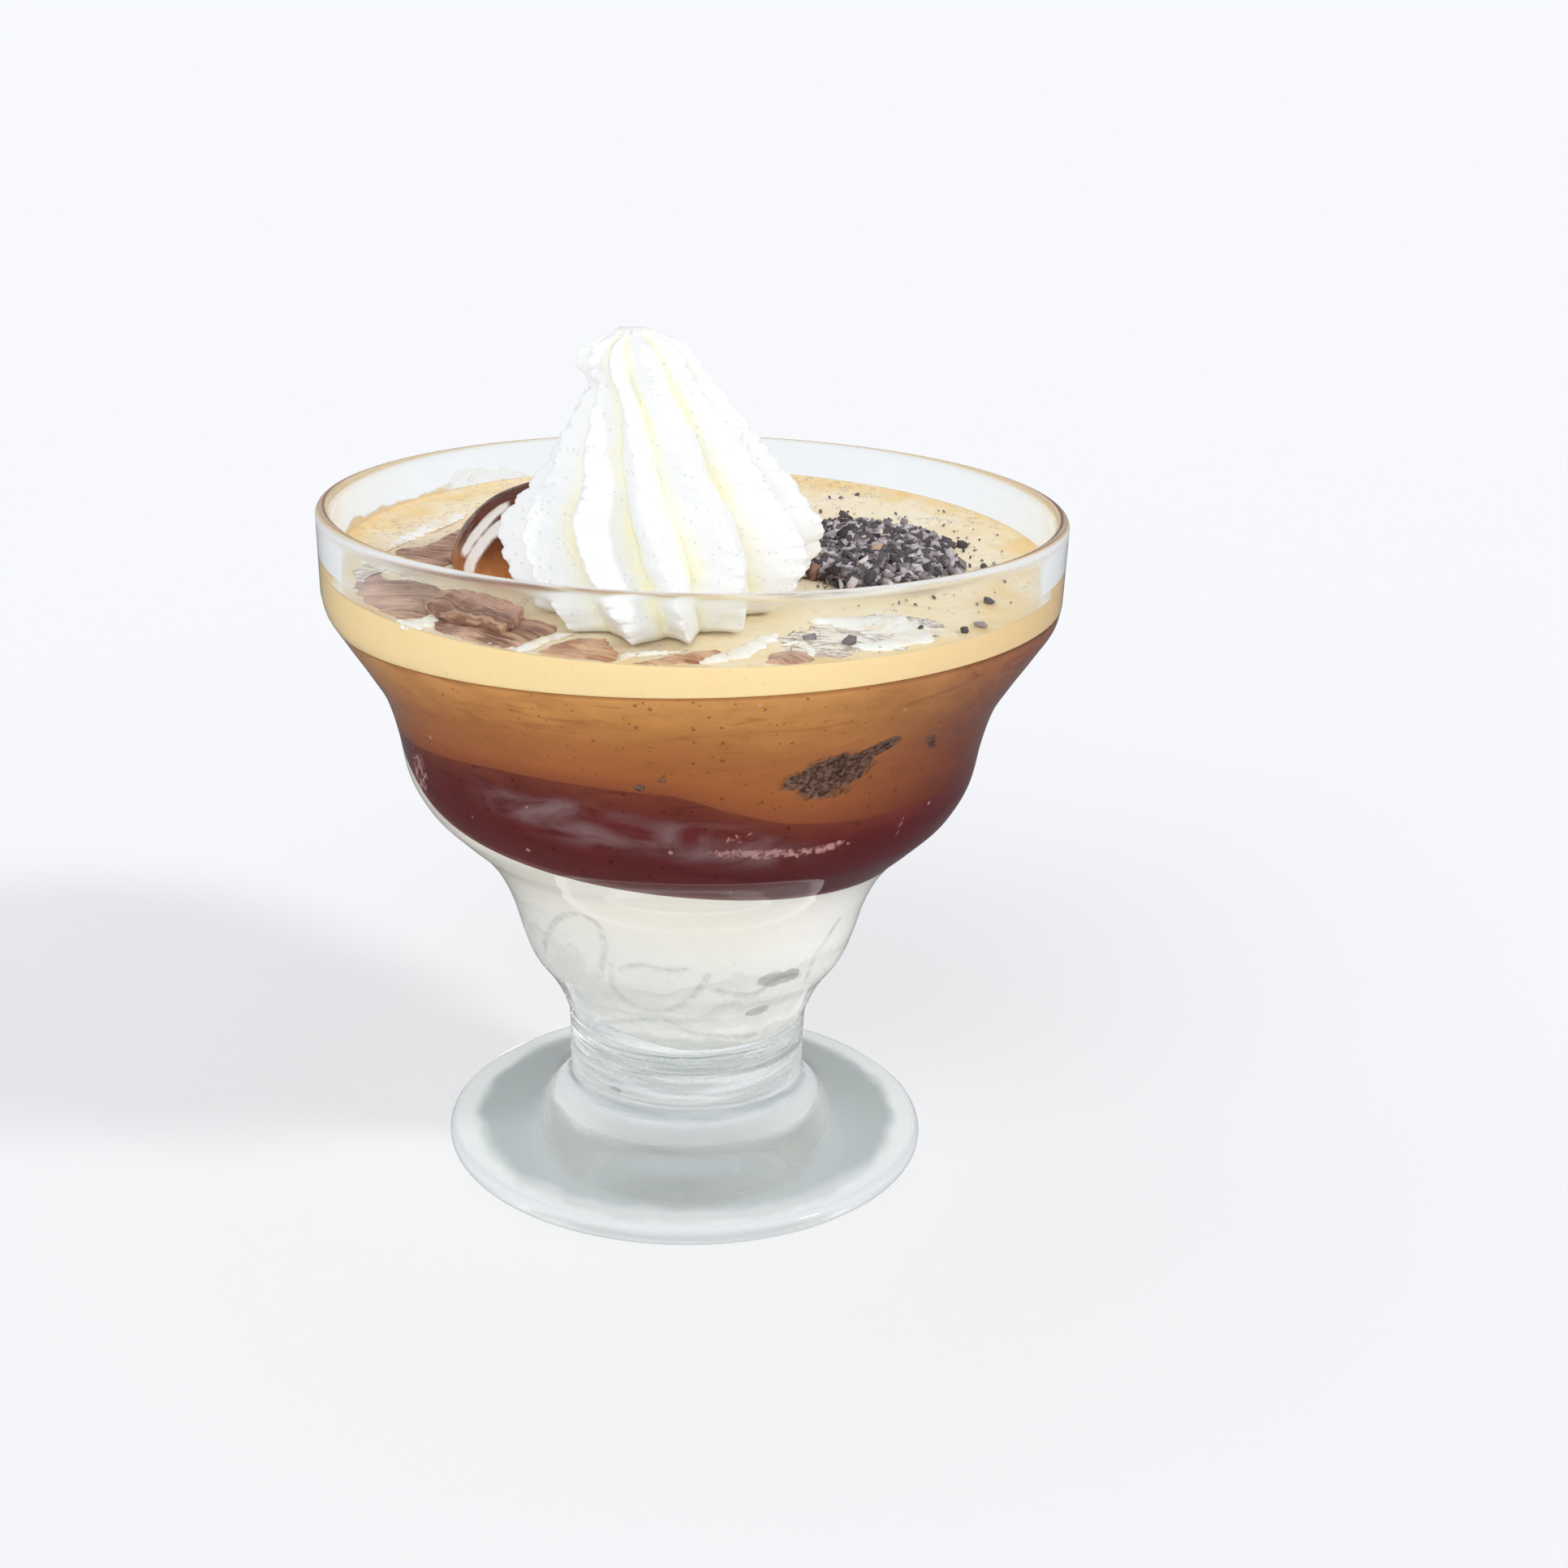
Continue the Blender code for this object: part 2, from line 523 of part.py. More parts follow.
def make_chunk(mat):
    """A low chunk of chocolate with an uneven outline and a bevelled top."""
    azimuth = math.radians(CHUNK_AZIMUTH)
    out = Vector((math.sin(azimuth), -math.cos(azimuth)))
    along = Vector((-out.y, out.x))
    angle = np.linspace(0.0, math.tau, CHUNK_CORNERS, endpoint=False)
    uneven = 1.0 + sum(size * np.sin(waves * angle + phase) for waves, phase, size in CHUNK_UNEVEN)
    boxy_cos = np.sign(np.cos(angle)) * np.abs(np.cos(angle)) ** CHUNK_SQUARENESS
    boxy_sin = np.sign(np.sin(angle)) * np.abs(np.sin(angle)) ** CHUNK_SQUARENESS
    rings = []
    for width, rise in CHUNK_RINGS:
        u = 0.5 * CHUNK_LENGTH * width * uneven * boxy_cos
        v = CHUNK_DISTANCE + 0.5 * CHUNK_WIDTH * width * uneven * boxy_sin
        x = u * along.x + v * out.x
        y = u * along.y + v * out.y
        z = foam_level(x, y) + GAP + CHUNK_HEIGHT * rise
        rings.append(np.column_stack((x, y, z)))
    middle = CHUNK_DISTANCE * out
    ground = foam_level(middle.x, middle.y) + GAP
    poles = [(middle.x, middle.y, ground), (middle.x, middle.y, ground + CHUNK_CROWN * CHUNK_HEIGHT)]
    add_object("chocolate_chunk", skin_rings(rings, *poles), mat)


def main():
    """Build the glass, its layers from the bottom up, and the toppings."""
    clear_scene()
    rng = np.random.default_rng(RANDOM_SEED)
    make_glass()
    make_layer("vanilla_ice_cream", vanilla_floor, vanilla_top, (0.55,), (0.5, 0.8, 0.92), 13,
               material("vanilla_ice_cream", (0.83, 0.80, 0.72), 0.55))
    make_layer("dark_coffee", vanilla_top, dark_top, (0.5, 0.8, 0.92), (0.4, 0.75), 6,
               material("dark_coffee", (0.10, 0.028, 0.016), 0.25))
    make_layer("milk_coffee", dark_top, milk_top, (0.4, 0.75), (0.5,), 7,
               material("milk_coffee", (0.42, 0.19, 0.075), 0.35))
    foam_mat = material("crema_foam", (0.78, 0.55, 0.29), 0.6)
    foam = make_layer("crema_foam", milk_top, foam_top, (0.5,), (0.35, 0.7, MENISCUS_START), 3, foam_mat)
    scatter_strays(rng, foam, foam_mat)
    make_scoop("chocolate_scoop", 0.0, material("chocolate_ice_cream", (0.11, 0.03, 0.015), 0.2))
    make_cream(material("whipped_cream", (0.93, 0.92, 0.88), 0.5))
    make_heap(rng, material("cookie_crumbs", (0.028, 0.022, 0.020), 0.7))
    make_chunk(material("chocolate_chunk", (0.25, 0.10, 0.06), 0.35))


main()
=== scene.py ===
"""The looks of an affogato: a footed sundae glass, its layers, its toppings and their finishes.

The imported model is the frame, and every piece here stands where its solid stands. Sizes
are in millimetres in the frame's axes: +Z is up the axis of the glass, -Y is the front,
and azimuths are degrees from the front, positive towards +X.
"""

import logging
import math
from collections.abc import Callable, Sequence
from dataclasses import dataclass, field
from enum import Enum
from functools import reduce

import bpy
import numpy as np
from mathutils import Matrix, Vector


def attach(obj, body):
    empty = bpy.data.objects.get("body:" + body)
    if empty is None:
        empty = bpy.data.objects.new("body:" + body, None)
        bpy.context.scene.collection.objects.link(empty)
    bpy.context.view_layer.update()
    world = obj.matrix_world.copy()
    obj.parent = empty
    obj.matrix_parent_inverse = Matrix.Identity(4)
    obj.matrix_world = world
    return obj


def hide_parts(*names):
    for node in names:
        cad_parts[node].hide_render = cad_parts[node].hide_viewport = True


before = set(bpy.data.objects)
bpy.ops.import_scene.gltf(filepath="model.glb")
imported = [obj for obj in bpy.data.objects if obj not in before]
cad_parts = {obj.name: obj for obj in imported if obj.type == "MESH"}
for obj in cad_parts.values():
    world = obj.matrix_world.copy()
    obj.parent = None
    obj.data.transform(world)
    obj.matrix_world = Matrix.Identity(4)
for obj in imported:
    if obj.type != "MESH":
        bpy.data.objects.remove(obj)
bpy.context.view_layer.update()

log = logging.getLogger("affogato")
Array = np.ndarray
Node = bpy.types.Node
Socket = bpy.types.NodeSocket
Piece = bpy.types.Object
Colour = tuple[float, float, float]
Point2 = tuple[float, float]
Triples = tuple[tuple[float, float, float], ...]
Stops = tuple[tuple[float, Colour], ...]

MM = 0.001
BODY = "root"
INTO_WALL = 0.12            # how far the contents reach into the glass
COLUMNS = 640               # points round the contents
LIFT = 0.3                  # the toppings stand this far above the foam


# ---------------------------------------------------------------- shapes and numbers

@dataclass(frozen=True)
class SmoothCurve:
    """A monotone cubic curve through (place, value) keys.

    Between two keys it is the cubic that has their values and slopes. The slope at a key is
    the weighted harmonic mean of the slopes beside it, or nought where they differ in sign,
    so the curve never swings past a key.
    """

    keys: tuple[Point2, ...]

    def __call__(self, at: Array | float) -> Array:
        """Read the curve.

        Args:
            at: places, clipped to the first and the last key.

        Returns:
            The values there.
        """
        place, value = np.array(self.keys, dtype=float).T
        step = np.diff(place)
        slope = np.diff(value) / step
        same_way = slope[:-1] * slope[1:] > 0.0
        ahead = 2.0 * step[1:] + step[:-1]
        behind = step[1:] + 2.0 * step[:-1]
        safe = [np.where(same_way, part, 1.0) for part in (slope[:-1], slope[1:])]
        tangent = np.concatenate((slope[:1], np.zeros(len(step) - 1), slope[-1:]))
        tangent[1:-1] = np.where(same_way, (ahead + behind) / (ahead / safe[0] + behind / safe[1]), 0.0)
        at = np.clip(at, place[0], place[-1])
        i = np.clip(np.searchsorted(place, at) - 1, 0, len(step) - 1)
        t = (at - place[i]) / step[i]
        rise = value[i + 1] - value[i]
        start = tangent[i] * step[i]
        end = tangent[i + 1] * step[i]
        return value[i] + t * (start + t * (3.0 * rise - 2.0 * start - end + t * (start + end - 2.0 * rise)))


def smooth_step(low: float, high: float, value: Array) -> Array:
    """An S-shaped rise from 0 at low to 1 at high: 3t^2 - 2t^3."""
    t = np.clip((value - low) / (high - low), 0.0, 1.0)
    return t * t * (3.0 - 2.0 * t)


def lattice(ix: Array, iy: Array, iz: Array, seed: int) -> Array:
    """A repeatable number from 0 to 1 for each whole place, by mixing its bits."""
    mixed = (ix * 374761393 + iy * 668265263 + iz * 1440662683 + seed * 974711) & 0xFFFFFFFF
    mixed = ((mixed ^ (mixed >> 13)) * 1274126177) & 0xFFFFFFFF
    return ((mixed ^ (mixed >> 16)) & 0xFFFF) / 65535.0


def waves(x: Array, y: Array, z: Array | float = 0.0, seed: int = 0, octaves: int = 1) -> Array:
    """Random smooth waves, from about -1 to 1, with a hill or hollow at each unit.

    Formula: each point blends the numbers of the eight whole places round it, weighted by
    S-curves of its distance from them. Each further octave is twice as fine and half as high.

    Args:
        x, y, z: places.
        seed: which pattern.
        octaves: how many sizes of wave are added up.

    Returns:
        The height of the waves at each place.
    """
    x, y, z = np.broadcast_arrays(*(np.asarray(v, dtype=float) for v in (x, y, z)))
    total = np.zeros(x.shape)
    for octave in range(octaves):
        size = 2.0 ** octave
        whole = [np.floor(v * size).astype(np.int64) for v in (x, y, z)]
        part = [v * size - w for v, w in zip((x, y, z), whole)]
        part = [t * t * (3.0 - 2.0 * t) for t in part]
        level = np.zeros(x.shape)
        for corner in np.ndindex(2, 2, 2):
            weight = math.prod(t if far else 1.0 - t for far, t in zip(corner, part))
            level += weight * lattice(*(w + far for w, far in zip(whole, corner)), seed + octave)
        total += (2.0 * level - 1.0) / size
    return total


def angle_of(azimuth: Array | float) -> Array:
    """The angle from +X, in radians, of an azimuth in degrees from the front."""
    return np.radians(np.asarray(azimuth, dtype=float) - 90.0)


def azimuth_of(x: Array, y: Array) -> Array:
    """The azimuth in degrees of places on the plan."""
    return np.degrees(np.arctan2(x, -y))


def angles_round(columns: int) -> Array:
    """Even angles once round, in radians."""
    return np.linspace(0.0, math.tau, columns, endpoint=False)


def around(r: Array, angle: Array, z: Array) -> Array:
    """Places at a distance and an angle about the axis of the glass, and at a height."""
    return np.stack(np.broadcast_arrays(r * np.cos(angle), r * np.sin(angle), z), axis=-1)


def turn_between(azimuth: Array, centre: float) -> Array:
    """Degrees from one azimuth to another by the short way round."""
    return (azimuth - centre + 180.0) % 360.0 - 180.0


def catmull_rom(keys: Sequence[Array], t: Array) -> Array:
    """The cubic from the second of four keys to the third, with half the step past each as its slope."""
    p0, p1, p2, p3 = keys
    return 0.5 * (2.0 * p1 + t * (p2 - p0 + t * (2.0 * p0 - 5.0 * p1 + 4.0 * p2 - p3
                                                 + t * (3.0 * (p1 - p2) + p3 - p0))))


def closed_outline(points: Sequence[Point2], count: int) -> Array:
    """A smooth closed line through a few points.

    Formula: a Catmull-Rom curve, whose slope at a point is half the step between its
    neighbours, read at even steps of its parameter.

    Args:
        points: places on the plan, in order.
        count: how many points to return.

    Returns:
        An array of count places.
    """
    keys = np.array(points, dtype=float)
    at = np.linspace(0.0, len(keys), count, endpoint=False)
    i = at.astype(int)
    return catmull_rom([keys[(i + k) % len(keys)] for k in (-1, 0, 1, 2)], (at - i)[:, None])


def open_line(points: Sequence[Sequence[float]], count: int) -> Array:
    """A smooth open line through a few points: a Catmull-Rom curve with its ends doubled."""
    keys = np.array([points[0], *points, points[-1]], dtype=float)
    at = np.linspace(0.0, len(points) - 1.0, count)
    i = np.minimum(at.astype(int), len(points) - 2)
    return catmull_rom([keys[i + k] for k in (0, 1, 2, 3)], (at - i)[:, None])


def add_object(name: str, data: bpy.types.ID) -> Piece:
    """Put a new object that shows a mesh, a lamp or a camera in the scene."""
    obj = bpy.data.objects.new(name, data)
    bpy.context.scene.collection.objects.link(obj)
    return obj


def signed_volume(points: Array, corners: Array) -> float:
    """The volume that triangles enclose, below nought where they face inwards."""
    a, b, c = (points[corners[:, k]] for k in range(3))
    return float(np.einsum("ij,ij->i", a, np.cross(b, c)).sum())


class MeshMaker:
    """Puts arrays of points and faces into Blender meshes and places them as pieces."""

    @staticmethod
    def from_faces(name: str, points: Array, faces: Sequence[Array],
                   marks: dict[str, Array] | None = None) -> Piece:
        """Make an object of points and faces.

        Args:
            name: the piece's name.
            points: places in millimetres, one row each.
            faces: arrays of corner numbers, one row a face, all of one count of corners each.
            marks: numbers for each point, by name, which the finishes read.

        Returns:
            The new object at the origin, with its faces pointing outwards.
        """
        fans = [block[:, [0, k, k + 1]] for block in faces for k in range(1, block.shape[1] - 1)]
        if signed_volume(points, np.concatenate(fans)) < 0.0:
            faces = [block[:, ::-1] for block in faces]
        counts = np.concatenate([np.full(len(block), block.shape[1]) for block in faces])
        corners = np.concatenate([block.ravel() for block in faces])
        mesh = bpy.data.meshes.new(name)
        mesh.vertices.add(len(points))
        mesh.vertices.foreach_set("co", (points * MM).astype(np.float32).ravel())
        mesh.loops.add(len(corners))
        mesh.loops.foreach_set("vertex_index", corners.astype(np.int32))
        mesh.polygons.add(len(counts))
        mesh.polygons.foreach_set("loop_start", (np.cumsum(counts) - counts).astype(np.int32))
        mesh.update(calc_edges=True)
        mesh.shade_smooth()
        for mark, values in (marks or {}).items():
            layer = mesh.attributes.new(mark, "FLOAT", "POINT")
            layer.data.foreach_set("value", values.astype(np.float32).ravel())
        return add_object(name, mesh)

    @classmethod
    def from_rows(cls, name: str, rows: Array, poles: tuple[Array, Array] | None = None,
                  marks: dict[str, Array] | None = None) -> Piece:
        """Skin rows of points that each close into a ring.

        Args:
            name: the piece's name.
            rows: an array of rows by columns by three.
            poles: the points that close the first and the last row, by default their means.
            marks: numbers by rows and columns, by name. A pole takes the mean of its row.

        Returns:
            The new object.
        """
        count, columns = rows.shape[:2]
        number = np.arange(count * columns).reshape(count, columns)
        ahead = np.roll(number, -1, axis=1)
        quads = np.stack((number[:-1], ahead[:-1], ahead[1:], number[1:]), axis=-1)
        first = np.full(columns, number.size)
        faces = [quads.reshape(-1, 4), np.column_stack((ahead[0], number[0], first)),
                 np.column_stack((number[-1], ahead[-1], first + 1))]
        poles = poles or (rows[0].mean(axis=0), rows[-1].mean(axis=0))
        values = {mark: np.append(grid, (grid[0].mean(), grid[-1].mean()))
                  for mark, grid in (marks or {}).items()}
        return cls.from_faces(name, np.vstack((rows.reshape(-1, 3), *poles)), faces, values)

    @classmethod
    def scattered(cls, name: str, centres: Array, sizes: Array, shape: "Grain", rng: np.random.Generator,
                  jag: float, marks: dict[str, Array] | None = None) -> Piece:
        """Join many small solids, each turned and dented in its own way.

        Formula: each corner is the shape's corner times the size times a random number near
        one, turned by a random rotation (from a random unit quaternion), at the centre.

        Args:
            name: the piece's name.
            centres: places, one row each.
            sizes: half-widths along the solid's own three axes, one row each.
            shape: the solid that is repeated.
            rng: where the random numbers come from.
            jag: how far corners move, as a share of the size.
            marks: a number for each solid, by name.

        Returns:
            The new object.
        """
        base, faces = shape.solid()
        count = len(centres)
        dent = 1.0 + jag * rng.uniform(-1.0, 1.0, (count, len(base), 1))
        local = base[None] * sizes[:, None, :] * dent
        q = rng.normal(size=(count, 4))
        w, x, y, z = (q / np.linalg.norm(q, axis=1, keepdims=True)).T
        turn = np.stack((1 - 2 * (y * y + z * z), 2 * (x * y - w * z), 2 * (x * z + w * y),
                         2 * (x * y + w * z), 1 - 2 * (x * x + z * z), 2 * (y * z - w * x),
                         2 * (x * z - w * y), 2 * (y * z + w * x), 1 - 2 * (x * x + y * y)), axis=-1)
        local = np.einsum("nij,nkj->nki", turn.reshape(count, 3, 3), local)
        points = (local + centres[:, None, :]).reshape(-1, 3)
        corners = faces[None] + (np.arange(count) * len(base))[:, None, None]
        values = {mark: np.repeat(each, len(base)) for mark, each in (marks or {}).items()}
        return cls.from_faces(name, points, [corners.reshape(-1, faces.shape[1])], values)

    @staticmethod
    def place(obj: Piece, material: bpy.types.Material, slot: str, *nodes: str) -> None:
        """Give a piece its finish and its place on the body.

        Args:
            obj: the piece.
            material: its finish.
            slot: not used.
            nodes: the solids that the piece stands for.
        """
        obj.data.materials.append(material)
        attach(obj, BODY)
        if nodes:
            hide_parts(*nodes)
        log.info("%s: %d faces", obj.name, len(obj.data.polygons))


class Grain(Enum):
    """The small solids that scattered pieces repeat."""

    SHARD = "a ball of 20 faces"
    BEAD = "a round ball of 80 faces"

    def solid(self) -> tuple[Array, Array]:
        """Points at a distance of one and triangles of this solid.

        Formula: the shard's twelve corners lie on three golden rectangles. The bead splits
        each of its faces into four.

        Returns:
            The points and the triangles' corner numbers.
        """
        golden = (1.0 + math.sqrt(5.0)) / 2.0
        flat = np.array([(s, t * golden, 0.0) for s in (-1, 1) for t in (-1, 1)])
        points = np.vstack([np.roll(flat, k, axis=1) for k in range(3)])
        apart = np.linalg.norm(points[:, None] - points[None], axis=-1)
        near = (apart > 0.1) & (apart < 2.1)
        faces = np.array([(a, b, c) for a in range(12) for b in range(a + 1, 12) for c in range(b + 1, 12)
                          if near[a, b] and near[b, c] and near[a, c]])
        faces = self.outwards(points, faces)
        if self is Grain.BEAD:
            mids = [(points[faces[:, a]] + points[faces[:, b]]) / 2.0 for a, b in ((0, 1), (1, 2), (2, 0))]
            soup = np.stack((points[faces[:, 0]], mids[0], mids[2], mids[0], points[faces[:, 1]], mids[1],
                             mids[2], mids[1], points[faces[:, 2]], mids[0], mids[1], mids[2]), axis=1)
            points, back = np.unique(soup.reshape(-1, 3).round(6), axis=0, return_inverse=True)
            faces = back.reshape(-1, 3)
        return points / np.linalg.norm(points, axis=1, keepdims=True), faces

    @staticmethod
    def outwards(points: Array, faces: Array) -> Array:
        """Turn round each face that looks towards the middle."""
        a, b, c = (points[faces[:, k]] for k in range(3))
        inward = np.einsum("ij,ij->i", np.cross(b - a, c - a), a + b + c) < 0.0
        return np.where(inward[:, None], faces[:, ::-1], faces)


# ---------------------------------------------------------------- finishes

Value = Socket | float | tuple


class Tree:
    """Places and joins the nodes of one shader tree."""

    def __init__(self, tree: bpy.types.NodeTree) -> None:
        """Start with an existing tree."""
        self.tree = tree

    def feed(self, target: Socket, value: Value) -> None:
        """Set an input to a number or a colour, or link it to an output."""
        if isinstance(value, Socket):
            self.tree.links.new(value, target)
        elif isinstance(value, tuple) and len(value) == 3 and target.type == "RGBA":
            target.default_value = (*value, 1.0)
        else:
            target.default_value = value

    def fill(self, node: Node, inputs: dict[str | int, Value]) -> None:
        """Feed several inputs of a node, by name or number."""
        for name, value in inputs.items():
            self.feed(node.inputs[name], value)

    def add(self, kind: str, inputs: dict[str | int, Value] | None = None, **settings: object) -> Node:
        """Add a node.

        Args:
            kind: the node's type, without the words ShaderNode.
            inputs: what its inputs are fed with, by name or number.
            settings: its other properties.

        Returns:
            The node.
        """
        node = self.tree.nodes.new("ShaderNode" + kind)
        for name, value in settings.items():
            setattr(node, name, value)
        self.fill(node, inputs or {})
        return node

    def sum(self, operation: str, a: Value, b: Value = 0.0) -> Socket:
        """A Math node's result."""
        return self.add("Math", {0: a, 1: b}, operation=operation).outputs[0]

    def times(self, *factors: Value) -> Socket:
        """Values multiplied, from the first on."""
        return reduce(lambda a, b: self.sum("MULTIPLY", a, b), factors)

    def plus(self, *parts: Value) -> Socket:
        """Values added, from the first on."""
        return reduce(lambda a, b: self.sum("ADD", a, b), parts)

    def larger(self, *values: Value) -> Socket:
        """The largest of the values."""
        return reduce(lambda a, b: self.sum("MAXIMUM", a, b), values)

    def less(self, a: Value, b: Value) -> Socket:
        """The first value less the second."""
        return self.sum("SUBTRACT", a, b)

    def noise(self, vector: Value, scale: float, detail: float = 3.0, bend: float = 0.0) -> Socket:
        """Soft random clouds from 0 to 1."""
        inputs = {"Vector": vector, "Scale": scale, "Detail": detail, "Distortion": bend}
        return self.add("TexNoise", inputs).outputs[0]

    def span(self, value: Value, low: float, high: float, to_low: float = 0.0,
             to_high: float = 1.0) -> Socket:
        """An S-shaped change from one value to another as the input goes from low to high."""
        inputs = {"Value": value, "From Min": low, "From Max": high, "To Min": to_low, "To Max": to_high}
        return self.add("MapRange", inputs, interpolation_type="SMOOTHSTEP").outputs[0]

    def band(self, value: Value, rise: Point2, fall: Point2) -> Socket:
        """1 between a soft rise and a soft fall, and 0 outside them."""
        return self.times(self.span(value, *rise), self.span(value, *fall, 1.0, 0.0))

    def ragged(self, value: Value, noise: Value, reach: float) -> Socket:
        """A value with noise from 0 to 1 added to it, centred and scaled to a reach."""
        return self.plus(value, self.times(self.less(noise, 0.5), reach))

    def blend(self, share: Value, first: Value, second: Value, how: str = "MIX") -> Socket:
        """One colour over another by a share."""
        node = self.add("Mix", data_type="RGBA", blend_type=how)
        self.fill(node, {0: share, 6: first, 7: second})
        return node.outputs[2]

    def paint(self, base: Value, colour: Value, *masks: Value) -> Socket:
        """A colour over a base by the product of some masks."""
        return self.blend(self.times(*masks), base, colour)

    def ramp(self, value: Value, stops: Stops) -> Socket:
        """A colour that runs through several stops."""
        node = self.add("ValToRGB", {0: value})
        elements = node.color_ramp.elements
        while len(elements) < len(stops):
            elements.new(1.0)
        for element, (place, colour) in zip(elements, stops):
            element.position = place
            element.color = (*colour, 1.0)
        return node.outputs[0]

    def stretched(self, vector: Value, scale: Colour, turn: float = 0.0) -> Socket:
        """The vector scaled along its axes, after its X axis is turned to an angle in degrees about Z."""
        if turn:
            rotation = (0.0, 0.0, -math.radians(turn))
            vector = self.add("Mapping", {"Vector": vector, "Rotation": rotation}).outputs[0]
        return self.add("Mapping", {"Vector": vector, "Scale": scale}).outputs[0]

    def bump(self, height: Value, distance: float) -> Socket:
        """A normal that follows a height, in metres for a height of one."""
        return self.add("Bump", {"Height": height, "Distance": distance, "Strength": 1.0}).outputs[0]

    def mark(self, name: str) -> Socket:
        """The numbers that a piece's points carry under a name."""
        return self.add("Attribute", attribute_name=name).outputs["Fac"]

    def echo(self) -> Socket:
        """1 for what an outer face mirrors, and 0 for what is seen straight or through glass."""
        path = self.add("LightPath")
        outside = self.sum("LESS_THAN", path.outputs["Transmission Depth"], 0.5)
        return self.times(path.outputs["Is Glossy Ray"], outside)

    def place(self) -> Socket:
        """The place on the piece, in metres."""
        return self.add("TexCoord").outputs["Object"]

    def height(self, place: Value) -> Socket:
        """How high a place is above the foot's underside, in metres."""
        return self.add("SeparateXYZ", {0: place}).outputs[2]


